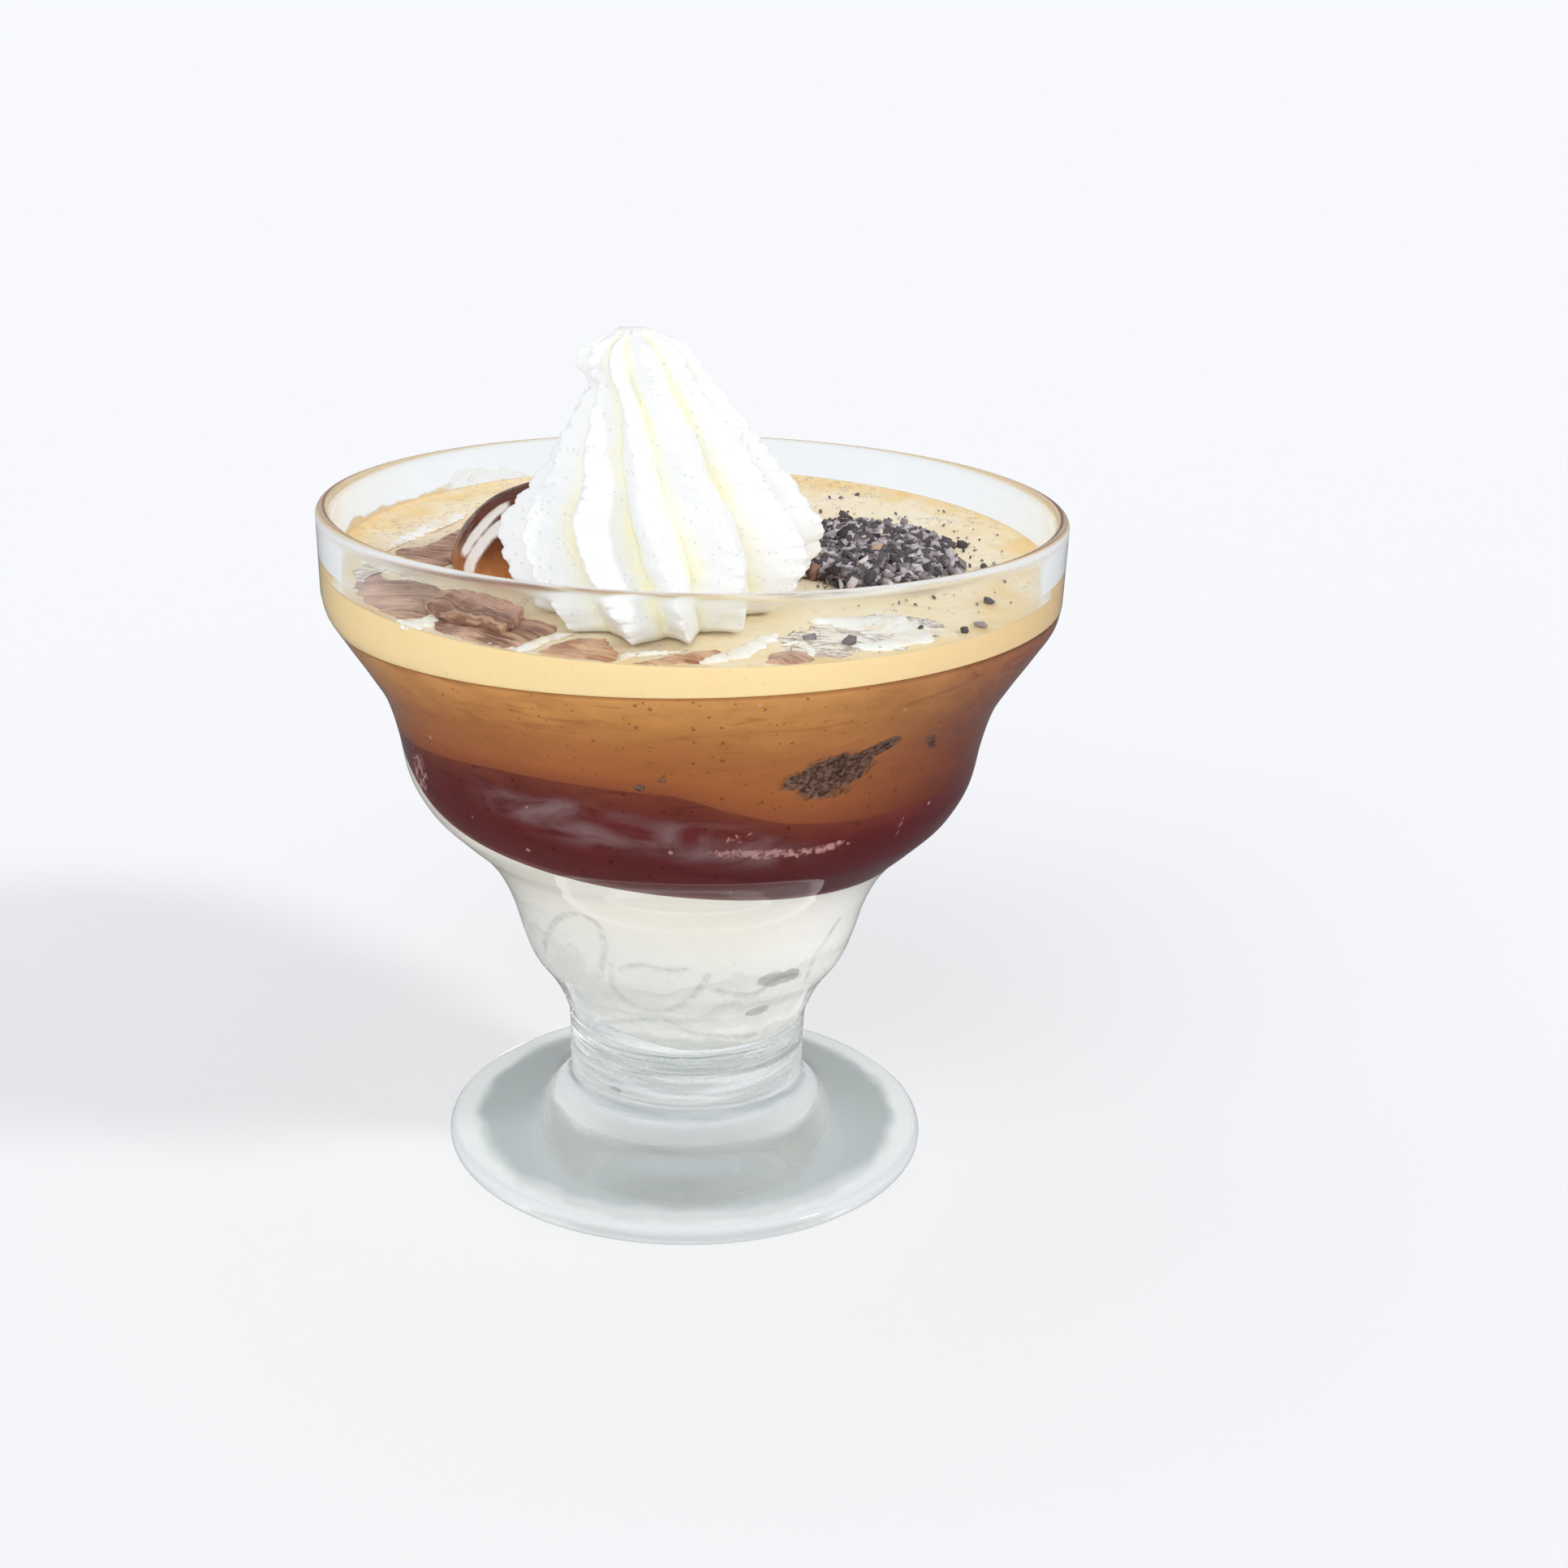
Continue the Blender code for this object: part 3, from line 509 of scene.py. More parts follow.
@dataclass
class Effects:
    """Shader node groups for effects that several finishes share, each built once."""

    built: dict[str, bpy.types.NodeTree] = field(default_factory=dict)

    def put(self, tree: Tree, name: str, vector: Value, numbers: dict[str, float], outputs: Sequence[str],
            wire: Callable[[Tree, Node, Node], None]) -> Node:
        """Put a group into a material, and build it first where it is new.

        Args:
            tree: the material's tree.
            name: the group's name.
            vector: the place on the piece, for the group's Vector input.
            numbers: values of its number inputs, by name.
            outputs: names of its number outputs.
            wire: adds the inner nodes between the group's input and output nodes.

        Returns:
            The group's node.
        """
        if name not in self.built:
            group = bpy.data.node_groups.new(name, "ShaderNodeTree")
            group.interface.new_socket("Vector", in_out="INPUT", socket_type="NodeSocketVector")
            for way, labels in (("INPUT", numbers), ("OUTPUT", outputs)):
                for label in labels:
                    group.interface.new_socket(label, in_out=way, socket_type="NodeSocketFloat")
            wire(Tree(group), group.nodes.new("NodeGroupInput"), group.nodes.new("NodeGroupOutput"))
            self.built[name] = group
        node = tree.add("Group", node_tree=self.built[name])
        tree.fill(node, {"Vector": vector, **numbers})
        return node

    def bubbles(self, tree: Tree, vector: Value, scale: float, size: float, share: float) -> Node:
        """Round bubbles in some cells of a random pattern.

        Formula: a bubble's height is the square root of 1 - (distance / size)^2, and only
        cells whose random number is under the share have one. Its rim is where the height
        is small but not nought.

        Args:
            tree: the material's tree.
            vector: place on the piece.
            scale: cells to the metre.
            size: a bubble's radius as a share of its cell.
            share: how many cells have a bubble.

        Returns:
            The group node, with outputs Height and Rim.
        """
        def wire(inner: Tree, start: Node, end: Node) -> None:
            """Join the cells, the dome and the rim."""
            given = start.outputs
            cell = inner.add("TexVoronoi", {"Vector": given["Vector"], "Scale": given["Scale"]})
            pick = inner.add("SeparateColor", {0: cell.outputs["Color"]})
            there = inner.sum("LESS_THAN", pick.outputs[0], given["Share"])
            own = inner.times(given["Size"], inner.plus(0.45, inner.times(pick.outputs[1], 0.55)))
            out = inner.sum("DIVIDE", cell.outputs["Distance"], own)
            left = inner.larger(inner.less(1.0, inner.sum("POWER", out, 2.0)), 0.0)
            dome = inner.times(inner.sum("SQRT", left), there)
            rim = inner.times(inner.band(out, (0.55, 0.9), (1.0, 1.15)), there)
            inner.fill(end, {"Height": dome, "Rim": rim})

        numbers = {"Scale": scale, "Size": size, "Share": share}
        return self.put(tree, "bubbles", vector, numbers, ("Height", "Rim"), wire)

    def mottle(self, tree: Tree, vector: Value, scale: float, contrast: float) -> Socket:
        """Cloudy variation round one half: coarse and fine noise together, made steeper.

        Args:
            tree: the material's tree.
            vector: place on the piece.
            scale: clouds to the metre.
            contrast: how steep the change from dark to light is.

        Returns:
            The clouds, from 0 to 1.
        """
        def wire(inner: Tree, start: Node, end: Node) -> None:
            """Add the two sizes of noise."""
            given = start.outputs
            coarse = inner.noise(given["Vector"], given["Scale"], 4.0, 0.6)
            fine = inner.noise(given["Vector"], inner.times(given["Scale"], 5.3), 3.0)
            both = inner.plus(inner.times(coarse, 0.68), inner.times(fine, 0.32))
            steep = inner.times(inner.less(both, 0.5), given["Contrast"])
            inner.fill(end, {"Value": inner.add("Clamp", {0: inner.plus(steep, 0.5)}).outputs[0]})

        numbers = {"Scale": scale, "Contrast": contrast}
        return self.put(tree, "mottle", vector, numbers, ("Value",), wire).outputs[0]

    def specks(self, tree: Tree, vector: Value, scale: float, size: float, share: float) -> Socket:
        """Small uneven dots in some cells: a cell's distance with noise added, cut at a size.

        Args:
            tree: the material's tree.
            vector: place on the piece.
            scale: cells to the metre.
            size: a dot's radius as a share of its cell.
            share: how many cells have a dot.

        Returns:
            The mask of the dots.
        """
        def wire(inner: Tree, start: Node, end: Node) -> None:
            """Cut the ragged distance and pick some cells."""
            given = start.outputs
            cell = inner.add("TexVoronoi", {"Vector": given["Vector"], "Scale": given["Scale"]})
            rough = inner.noise(given["Vector"], inner.times(given["Scale"], 3.0), 2.0)
            away = inner.ragged(cell.outputs["Distance"], rough, 0.35)
            dot = inner.sum("LESS_THAN", away, given["Size"])
            pick = inner.add("SeparateColor", {0: cell.outputs["Color"]})
            there = inner.sum("LESS_THAN", pick.outputs[0], given["Share"])
            inner.fill(end, {"Mask": inner.times(dot, there)})

        numbers = {"Scale": scale, "Size": size, "Share": share}
        return self.put(tree, "specks", vector, numbers, ("Mask",), wire).outputs[0]


EFFECTS = Effects()


@dataclass(frozen=True)
class Finish:
    """A material with one Principled shader, which each kind of finish dresses."""

    name: str
    roughness: float = 0.5

    def dress(self, tree: Tree, shader: Node) -> None:
        """Feed the shader; each kind of finish has its own way."""
        raise NotImplementedError

    def material(self) -> bpy.types.Material:
        """Build the material."""
        mat = bpy.data.materials.new(self.name)
        mat.use_nodes = True
        shader = mat.node_tree.nodes["Principled BSDF"]
        shader.inputs["Roughness"].default_value = self.roughness
        self.dress(Tree(mat.node_tree), shader)
        return mat


@dataclass(frozen=True)
class ClearFinish(Finish):
    """Clear glass or water, which lets the light of lamps through to what it holds."""

    tint: Colour = (0.972, 0.99, 0.98)
    index: float = 1.5
    shine: float = 0.16
    deepest: float = 7.0
    deepest_glossy: float = 2.0
    waviness: float = 0.000015

    def relief(self, tree: Tree, place: Value) -> Value:
        """The height of the surface's faint waves."""
        return tree.noise(place, 90.0, 2.0)

    def dress(self, tree: Tree, shader: Node) -> None:
        """Feed the tint and the waves, and mix with a clear shader for lamps and soft light."""
        place = tree.place()
        tree.fill(shader, {
            "Base Color": self.colour(tree, place), "IOR": self.index, "Transmission Weight": 1.0,
            "Specular Tint": (self.shine,) * 3,
            "Normal": tree.bump(self.relief(tree, place), self.waviness)})
        path = tree.add("LightPath").outputs
        trapped = tree.sum("GREATER_THAN", path["Transmission Depth"], self.deepest)
        echoed = tree.sum("GREATER_THAN", path["Glossy Depth"], self.deepest_glossy)
        passes = tree.larger(path["Is Shadow Ray"], path["Is Diffuse Ray"], trapped, echoed)
        clear = tree.add("BsdfTransparent", {"Color": tuple(0.5 + 0.5 * part for part in self.tint)})
        mix = tree.add("MixShader", {0: passes, 1: shader.outputs[0], 2: clear.outputs[0]})
        tree.fill(tree.tree.nodes["Material Output"], {"Surface": mix.outputs[0]})

    def colour(self, tree: Tree, place: Value) -> Value:
        """The tint of the clear body."""
        faint = tuple(0.97 * part for part in self.tint)
        return tree.blend(EFFECTS.mottle(tree, place, 40.0, 2.0), faint, self.tint)


@dataclass(frozen=True)
class PressedGlassFinish(ClearFinish):
    """Clear pressed glass with condensation on the lower cup and rings round the stem.

    Heights and distances from the axis are in metres. Each pair is where a change begins
    and where it is complete.
    """

    frost_rise: Point2 = (0.019, 0.027)
    frost_fall: Point2 = (0.042, 0.050)
    frost_roughness: float = 0.32
    under: Point2 = (0.0002, 0.0012)
    under_roughness: float = 0.20
    stem_rise: Point2 = (0.009, 0.012)
    stem_fall: Point2 = (0.019, 0.026)
    stem_roughness: float = 0.06
    rim_rise: Point2 = (0.1028, 0.1040)
    rim_roughness: float = 0.26
    ring_rise: Point2 = (0.0074, 0.0084)
    ring_fall: Point2 = (0.0102, 0.0112)
    ring_roughness: float = 0.5
    # Painted highlight: a paler band on the fillet where the stem meets the foot.
    ring_highlight_tint: Colour = (0.985, 1.0, 0.99)
    groove_rise: Point2 = (0.0115, 0.0135)
    groove_depth: float = 8.0
    fleck_rise: Point2 = (0.0125, 0.014)
    fleck_fall: Point2 = (0.018, 0.021)
    fleck: Colour = (0.16, 0.18, 0.165)
    # Partly the green of thick glass, partly painted shade for the dark surroundings seen through it.
    thick_tint_and_shade: Colour = (0.50, 0.54, 0.52)
    streak_tint: Colour = (0.84, 0.87, 0.855)
    foot_top: Point2 = (0.0066, 0.0080)
    foot_inside: Point2 = (0.0205, 0.0250)
    foot_outside: Point2 = (0.0345, 0.0370)
    # Partly the glass's own green, partly painted shade in the middle of the foot.
    foot_tint_and_shade: Colour = (0.52, 0.56, 0.555)
    # Painted highlight: paler glass at the foot's rounded edge and beside the stem.
    edge_highlight_tint: Colour = (0.97, 0.99, 0.985)
    cup_rise: Point2 = (0.019, 0.027)

    def relief(self, tree: Tree, place: Value) -> Value:
        """Faint waves everywhere, and fine rings round the stem."""
        grooves = tree.noise(tree.stretched(place, (40.0, 40.0, 800.0)), 1.0, 4.0, 0.6)
        depth = tree.times(tree.band(tree.height(place), self.groove_rise, self.stem_fall), self.groove_depth)
        return tree.plus(super().relief(tree, place), tree.times(grooves, depth))

    def colour(self, tree: Tree, place: Value) -> Value:
        """Clear in the cup; in the thick stem and foot greyer green with painted shade, faint streaks and
        painted highlights.
        """
        height = tree.height(place)
        streaks = tree.noise(tree.stretched(place, (45.0, 45.0, 700.0)), 1.0, 4.0, 0.8)
        # The stem: its own green with painted shade, paler along the streaks.
        thick = tree.blend(tree.span(streaks, 0.36, 0.60), self.thick_tint_and_shade, self.streak_tint)
        flecks = EFFECTS.specks(tree, tree.stretched(place, (0.5, 0.5, 1.6)), 330.0, 0.24, 0.14)
        on_stem = tree.band(height, self.fleck_rise, self.fleck_fall)
        thick = tree.paint(thick, self.fleck, flecks, on_stem, 0.7)
        flat = tree.stretched(place, (1.0, 1.0, 0.0))
        away = tree.add("VectorMath", {0: flat}, operation="LENGTH").outputs["Value"]
        away = tree.plus(away, tree.times(tree.noise(place, 130.0, 4.0), 0.004))
        # The foot: painted shade in its middle, and a painted highlight at its rounded edge and beside the
        # stem.
        foot = tree.blend(tree.span(away, *self.foot_outside), self.foot_tint_and_shade, self.edge_highlight_tint)
        foot = tree.blend(tree.span(away, *self.foot_inside, 1.0, 0.0), foot, self.edge_highlight_tint)
        thick = tree.blend(tree.span(height, *self.foot_top, 1.0, 0.0), thick, foot)
        # Painted highlight on the fillet where the stem meets the foot.
        thick = tree.blend(tree.band(height, self.ring_rise, self.ring_fall), thick, self.ring_highlight_tint)
        return tree.blend(tree.span(height, *self.cup_rise), thick, super().colour(tree, place))

    def dress(self, tree: Tree, shader: Node) -> None:
        """Add the patchy frost to the clear glass."""
        super().dress(tree, shader)
        place = tree.place()
        height = tree.height(place)
        patches = tree.span(tree.noise(place, 150.0, 5.0, 1.2), 0.42, 0.60)
        frost = tree.times(tree.band(height, self.frost_rise, self.frost_fall), patches, self.frost_roughness)
        under = tree.span(height, *self.under, self.under_roughness, 0.0)
        mist = tree.noise(tree.stretched(place, (1.0, 1.0, 3.0)), 260.0, 4.0)
        stem = tree.times(tree.band(height, self.stem_rise, self.stem_fall),
                          tree.span(mist, 0.35, 0.6, 0.25, 1.0), self.stem_roughness)
        rim = tree.span(height, *self.rim_rise, 0.0, self.rim_roughness)
        ring = tree.times(tree.span(height, *self.ring_rise, 0.0, self.ring_roughness),
                          tree.span(height, *self.ring_fall, 1.0, 0.0))
        tree.fill(shader, {"Roughness": tree.plus(frost, under, stem, rim, ring, self.roughness)})


@dataclass(frozen=True)
class CoffeeFinish(Finish):
    """Coffee against the glass: its colour runs from top to bottom and it has fine pits.

    The points carry depth (0 at the top of the layer and 1 at its foot) and, where the layer
    has them, the marks cookie, milk, haze and shade; the shade mark paints shade on the sides.
    """

    stops: Stops = ()
    cloud: Colour = (0.3, 0.1, 0.05)
    cloud_share: float = 0.4
    pit: Colour = (0.12, 0.04, 0.02)
    milk: Colour = (0.6, 0.45, 0.4)
    cookie: tuple[Colour, Colour] = ((0.030, 0.016, 0.012), (0.20, 0.12, 0.085))
    streak_share: float = 0.55
    haze: Colour = (0.24, 0.155, 0.16)
    # Painted shade: the shade mark multiplies the sides by this colour.
    deep: Colour = (0.44, 0.34, 0.58)

    def dress(self, tree: Tree, shader: Node) -> None:
        """Feed colour, gloss and relief."""
        place = tree.place()
        base = tree.ramp(tree.mark("depth"), self.stops)
        slow = EFFECTS.mottle(tree, tree.stretched(place, (1.0, 1.0, 1.8)), 55.0, 2.2)
        base = tree.paint(base, self.cloud, slow, self.cloud_share)
        streaks = tree.noise(tree.stretched(place, (1.0, 1.0, 5.0)), 95.0, 5.0, 1.4)
        base = tree.paint(base, self.cloud, tree.span(streaks, 0.50, 0.78, 0.0, self.streak_share))
        for scale, size, share, colour, cover in ((540.0, 0.17, 0.22, self.pit, 0.55),
                                                  (1100.0, 0.2, 0.16, self.pit, 0.55),
                                                  (360.0, 0.10, 0.10, self.milk, 0.6)):
            base = tree.paint(base, colour, EFFECTS.specks(tree, place, scale, size, share), cover)
        crumbly = tree.blend(tree.span(tree.noise(place, 1500.0, 5.0, 0.5), 0.34, 0.68), *self.cookie)
        ragged = tree.ragged(tree.mark("cookie"), tree.noise(place, 600.0, 5.0), 1.6)
        base = tree.paint(base, crumbly, tree.span(ragged, 0.25, 0.80), 0.95)
        streaky = tree.ragged(tree.mark("milk"), tree.noise(place, 900.0, 5.0, 1.0), 1.8)
        base = tree.paint(base, self.milk, tree.span(streaky, 0.42, 0.85), 0.85)
        mist = tree.noise(tree.stretched(place, (1.0, 1.0, 2.5)), 90.0, 5.0, 1.0)
        base = tree.paint(base, self.haze, tree.mark("haze"), tree.span(mist, 0.30, 0.70))
        # Painted shade: the sides are multiplied by the deep colour.
        base = tree.blend(tree.mark("shade"), base, self.deep, "MULTIPLY")
        tree.fill(shader, {"Base Color": base, "Specular IOR Level": 0.0, "Normal": tree.bump(slow, 0.0001)})


@dataclass(frozen=True)
class IceCreamFinish(Finish):
    """Icy vanilla ice cream against the glass: off-white with translucent rings and clear spots, and painted
    light towards its sides.
    """

    white: Colour = (0.87, 0.82, 0.72)
    lower: Colour = (0.80, 0.79, 0.75)
    icy: Colour = (0.60, 0.60, 0.57)
    line: Colour = (0.50, 0.50, 0.47)
    clear: Colour = (0.36, 0.37, 0.32)
    pink: Colour = (0.80, 0.66, 0.62)
    painted_light: Colour = (0.97, 0.93, 0.89)

    def dress(self, tree: Tree, shader: Node) -> None:
        """Feed colour, gloss and relief."""
        place = tree.place()
        rings = tree.add("TexWave", {"Vector": place, "Scale": 34.0, "Distortion": 9.0, "Detail": 3.0,
                                     "Detail Scale": 1.6, "Detail Roughness": 0.6},
                         wave_type="RINGS", rings_direction="SPHERICAL", wave_profile="SAW").outputs["Fac"]
        low = tree.mark("depth")
        swirl = tree.times(tree.span(rings, 0.55, 1.0), tree.span(low, 0.30, 0.62))
        cloud = EFFECTS.mottle(tree, place, 170.0, 2.6)
        base = tree.blend(tree.span(low, 0.15, 0.6), self.white, self.lower)
        # Painted light: the shade mark paints the sides whiter.
        base = tree.paint(base, self.painted_light, tree.mark("shade"))
        base = tree.paint(base, self.icy, swirl, 0.45)
        trace = tree.mark("trace")
        base = tree.paint(base, self.line, trace, tree.span(tree.noise(place, 900.0, 3.0), 0.3, 0.6), 0.55)
        base = tree.paint(base, self.icy, cloud, tree.span(low, 0.25, 0.9, 0.05, 0.6))
        ragged = tree.ragged(tree.mark("clear"), tree.noise(place, 420.0, 4.0), 0.9)
        base = tree.paint(base, self.clear, tree.span(ragged, 0.4, 0.6), 0.7)
        base = tree.paint(base, self.pink, tree.mark("stain"), 0.8)
        frosty = tree.noise(place, 1500.0, 3.0)
        height = tree.less(tree.plus(tree.times(swirl, 0.8), tree.times(frosty, 0.35)), trace)
        tree.fill(shader, {
            "Base Color": base, "Roughness": tree.span(cloud, 0.2, 0.8, 0.35, 0.65),
            "Specular IOR Level": 0.1, "Normal": tree.bump(height, 0.00025)})


@dataclass(frozen=True)
class FoamFinish(Finish):
    """Pale golden foam. The points carry side, rim, shade, pale, froth and cocoa marks."""

    side: Colour = (0.93, 0.68, 0.33)
    side_shade: Colour = (0.74, 0.50, 0.25)
    top: Colour = (0.89, 0.70, 0.40)
    edge: Colour = (0.90, 0.62, 0.25)
    pale: Colour = (0.95, 0.85, 0.66)
    cocoa: Colour = (0.42, 0.25, 0.15)
    bubble: Colour = (0.93, 0.85, 0.72)
    dust: Colour = (0.10, 0.07, 0.06)

    def dress(self, tree: Tree, shader: Node) -> None:
        """Feed colour and the relief of the froth."""
        place = tree.place()
        cloud = EFFECTS.mottle(tree, place, 95.0, 2.4)
        on_top = tree.blend(cloud, self.top, self.pale)
        on_top = tree.paint(on_top, self.edge, tree.mark("rim"), tree.span(cloud, 0.2, 0.9, 1.0, 0.35))
        on_side = tree.paint(self.side, self.pale, EFFECTS.mottle(tree, place, 170.0, 1.6), 0.12)
        # Painted shade: the shade mark makes the foam's side darker towards both sides.
        on_side = tree.paint(on_side, self.side_shade, tree.mark("shade"), 0.75)
        side = tree.mark("side")
        off_side = tree.less(1.0, side)
        base = tree.blend(side, on_top, on_side)
        base = tree.paint(base, self.pale, tree.mark("pale"), off_side, 0.75)
        froth = EFFECTS.bubbles(tree, place, 620.0, 0.42, 0.75).outputs
        tiny = EFFECTS.bubbles(tree, place, 1500.0, 0.40, 0.8).outputs
        there = tree.times(tree.larger(tree.mark("froth"), tree.span(cloud, 0.45, 0.75, 0.0, 0.6)), off_side)
        base = tree.paint(base, self.bubble, froth["Height"], there, 0.55)
        base = tree.paint(base, self.cocoa, froth["Rim"], there, 0.35)
        cocoa = tree.times(tree.mark("cocoa"), off_side)
        dust = EFFECTS.specks(tree, place, 900.0, 0.17, 0.2)
        base = tree.paint(base, self.dust, dust, tree.larger(cocoa, 0.10))
        base = tree.paint(base, self.cocoa, cocoa, 0.35)
        small = tree.times(tiny["Height"], tree.times(there, 0.4))
        height = tree.plus(tree.times(froth["Height"], there), small, tree.noise(place, 260.0))
        tree.fill(shader, {
            "Base Color": base, "Roughness": tree.span(cloud, 0.2, 0.8, 0.42, 0.60),
            "Normal": tree.bump(height, 0.0003)})


@dataclass(frozen=True)
class CreamFinish(Finish):
    """Whipped cream: white, warm in its grooves, with a soft inner light."""

    white: Colour = (0.885, 0.89, 0.885)
    groove: Colour = (0.93, 0.89, 0.60)
    cool: Colour = (0.86, 0.88, 0.90)
    glow: float = 0.12

    def dress(self, tree: Tree, shader: Node) -> None:
        """Feed colour, gloss and the fine grain of the fat."""
        place = tree.place()
        cloud = EFFECTS.mottle(tree, place, 120.0, 1.6)
        base = tree.paint(self.white, self.groove, tree.span(tree.mark("groove"), 0.50, 1.0),
                          tree.span(tree.noise(place, 130.0, 3.0), 0.35, 0.65, 0.45, 1.0), 0.9)
        pores = EFFECTS.bubbles(tree, place, 1300.0, 0.3, 0.35)
        height = tree.plus(tree.noise(place, 700.0, 4.0), tree.times(pores.outputs["Height"], -0.7))
        tree.fill(shader, {
            "Base Color": tree.paint(base, self.cool, cloud, 0.10),
            "Subsurface Weight": self.glow, "Subsurface Radius": (1.0, 0.9, 0.7), "Subsurface Scale": 0.0022,
            "Roughness": tree.span(cloud, 0.2, 0.8, 0.42, 0.58), "Normal": tree.bump(height, 0.00016)})


@dataclass(frozen=True)
class ChocolateFinish(Finish):
    """Chocolate with a grain that runs one way, wet or dry. The points carry a pale mark."""

    dark: Colour = (0.20, 0.080, 0.045)
    light: Colour = (0.56, 0.32, 0.19)
    pale: Colour = (0.74, 0.42, 0.31)
    grain: tuple[float, float, float] = (0.22, 1.6, 0.6)
    turn: float = 0.0
    scale: float = 620.0
    coat: float = 0.12
    depth: float = 0.0004

    def dress(self, tree: Tree, shader: Node) -> None:
        """Feed colour, gloss and the relief of the grain."""
        place = tree.place()
        along = tree.stretched(place, self.grain, self.turn)
        fibre = tree.noise(along, self.scale, 5.0, 0.9)
        base = tree.blend(tree.span(fibre, 0.38, 0.62), self.dark, self.light)
        lines = tree.noise(tree.stretched(along, (0.5, 3.0, 1.0)), self.scale, 3.0, 0.4)
        base = tree.paint(base, self.dark, tree.span(lines, 0.52, 0.66, 0.0, 0.75))
        cloud = EFFECTS.mottle(tree, place, 160.0, 2.4)
        base = tree.paint(base, self.pale, tree.mark("pale"), tree.span(cloud, 0.2, 0.8, 0.5, 0.9))
        tree.fill(shader, {
            "Base Color": base,
            "Roughness": tree.span(cloud, 0.2, 0.8, self.roughness, self.roughness + 0.18),
            "Coat Weight": self.coat, "Coat Roughness": 0.12, "Normal": tree.bump(fibre, self.depth)})


@dataclass(frozen=True)
class CrumbFinish(Finish):
    """Cookie crumbs. Each crumb's points carry its tone: low is black, high is cream filling."""

    stops: Stops = (
        (0.0, (0.028, 0.022, 0.024)), (0.40, (0.115, 0.094, 0.098)), (0.66, (0.34, 0.29, 0.30)),
        (0.84, (0.68, 0.62, 0.66)), (0.90, (0.30, 0.12, 0.05)), (0.94, (0.72, 0.54, 0.38)),
        (1.0, (0.90, 0.86, 0.80)),
    )
    dust: Colour = (0.42, 0.38, 0.40)

    def dress(self, tree: Tree, shader: Node) -> None:
        """Feed each crumb's own colour and a rough grain."""
        grit = tree.noise(tree.place(), 2600.0, 3.0)
        base = tree.ramp(tree.mark("tone"), self.stops)
        tree.fill(shader, {
            "Base Color": tree.paint(base, self.dust, tree.span(grit, 0.55, 0.75, 0.0, 0.16)),
            "Roughness": tree.span(grit, 0.3, 0.7, self.roughness, 0.85), "Normal": tree.bump(grit, 0.00012)})


@dataclass(frozen=True)
class MilkFinish(Finish):
    """Milk and cream that has run over the foam, thin enough to let it through in places."""

    white: Colour = (0.95, 0.92, 0.87)
    thin: Colour = (0.88, 0.74, 0.54)
    vein: Colour = (0.42, 0.29, 0.23)
    vein_share: float = 0.0
    dust: Colour = (0.25, 0.17, 0.14)

    def dress(self, tree: Tree, shader: Node) -> None:
        """Feed colour and relief."""
        place = tree.place()
        cloud = EFFECTS.mottle(tree, place, 210.0, 2.8)
        base = tree.paint(self.white, self.thin, tree.mark("thin"), tree.span(cloud, 0.2, 0.8, 0.4, 1.0))
        flow = tree.noise(tree.stretched(place, (0.5, 1.5, 1.0), -14.0), 190.0, 4.0, 2.2)
        base = tree.paint(base, self.vein, tree.band(flow, (0.46, 0.53), (0.53, 0.62)), self.vein_share)
        base = tree.paint(base, self.dust, EFFECTS.specks(tree, place, 700.0, 0.2, 0.14), 0.5)
        tree.fill(shader, {"Base Color": base, "Normal": tree.bump(cloud, 0.0002)})


@dataclass(frozen=True)
class ResidueFinish(Finish):
    """Foam that dried on the glass: a pale film with holes, thicker where the mark is high."""

    colour: Colour = (0.82, 0.66, 0.44)
    thin: Colour = (0.74, 0.72, 0.62)

    def dress(self, tree: Tree, shader: Node) -> None:
        """Feed colour, cover and relief."""
        cloud = EFFECTS.mottle(tree, tree.place(), 190.0, 2.2)
        thick = tree.mark("thick")
        tree.fill(shader, {
            "Base Color": tree.blend(thick, self.thin, self.colour),
            "Alpha": tree.plus(tree.times(thick, 0.72), tree.times(cloud, 0.22)),
            "Normal": tree.bump(cloud, 0.0002)})


@dataclass(frozen=True)
class StudioFinish(Finish):
    """A plain pale floor, which glass mirrors only dimly, as it does in a room with dark walls."""

    colour: Colour = (0.943, 0.940, 0.948)
    mirrored: Colour = (0.16, 0.15, 0.15)

    def dress(self, tree: Tree, shader: Node) -> None:
        """Feed an almost even colour."""
        faint = tuple(0.995 * part for part in self.colour)
        even = tree.blend(tree.noise(tree.place(), 3.0), faint, self.colour)
        base = tree.blend(tree.echo(), even, self.mirrored)
        tree.fill(shader, {"Base Color": base, "Specular IOR Level": 0.0})


@dataclass(frozen=True)
class SauceFinish(Finish):
    """Glossy sauce over ice cream; its pale runs are partly drizzle, partly painted highlight. The points
    carry streak and low marks.
    """

    dark: Colour = (0.050, 0.010, 0.005)
    warm: Colour = (0.26, 0.070, 0.030)
    amber: Colour = (0.52, 0.20, 0.06)
    white: Colour = (0.95, 0.88, 0.82)

    def dress(self, tree: Tree, shader: Node) -> None:
        """Feed colour, gloss and relief."""
        place = tree.place()
        cloud = EFFECTS.mottle(tree, place, 130.0, 2.4)
        base = tree.paint(self.dark, self.warm, cloud, 0.55)
        base = tree.paint(base, self.amber, tree.span(tree.mark("low"), 0.45, 0.95),
                          tree.span(cloud, 0.2, 0.8, 0.5, 1.0))
        # Pale runs, partly drizzle and partly a painted highlight on the glossy sauce.
        streak = tree.ragged(tree.mark("streak"), tree.noise(place, 480.0, 4.0, 0.5), 0.7)
        base = tree.paint(base, self.white, tree.span(streak, 0.25, 0.75), 0.85)
        tree.fill(shader, {
            "Base Color": base, "Specular IOR Level": 0.06, "Normal": tree.bump(cloud, 0.0004)})


# ---------------------------------------------------------------- sub-assemblies

# A height for each x, y, azimuth and share of the way out to the wall.
Surface = Callable[[Array, Array, Array, Array], Array]


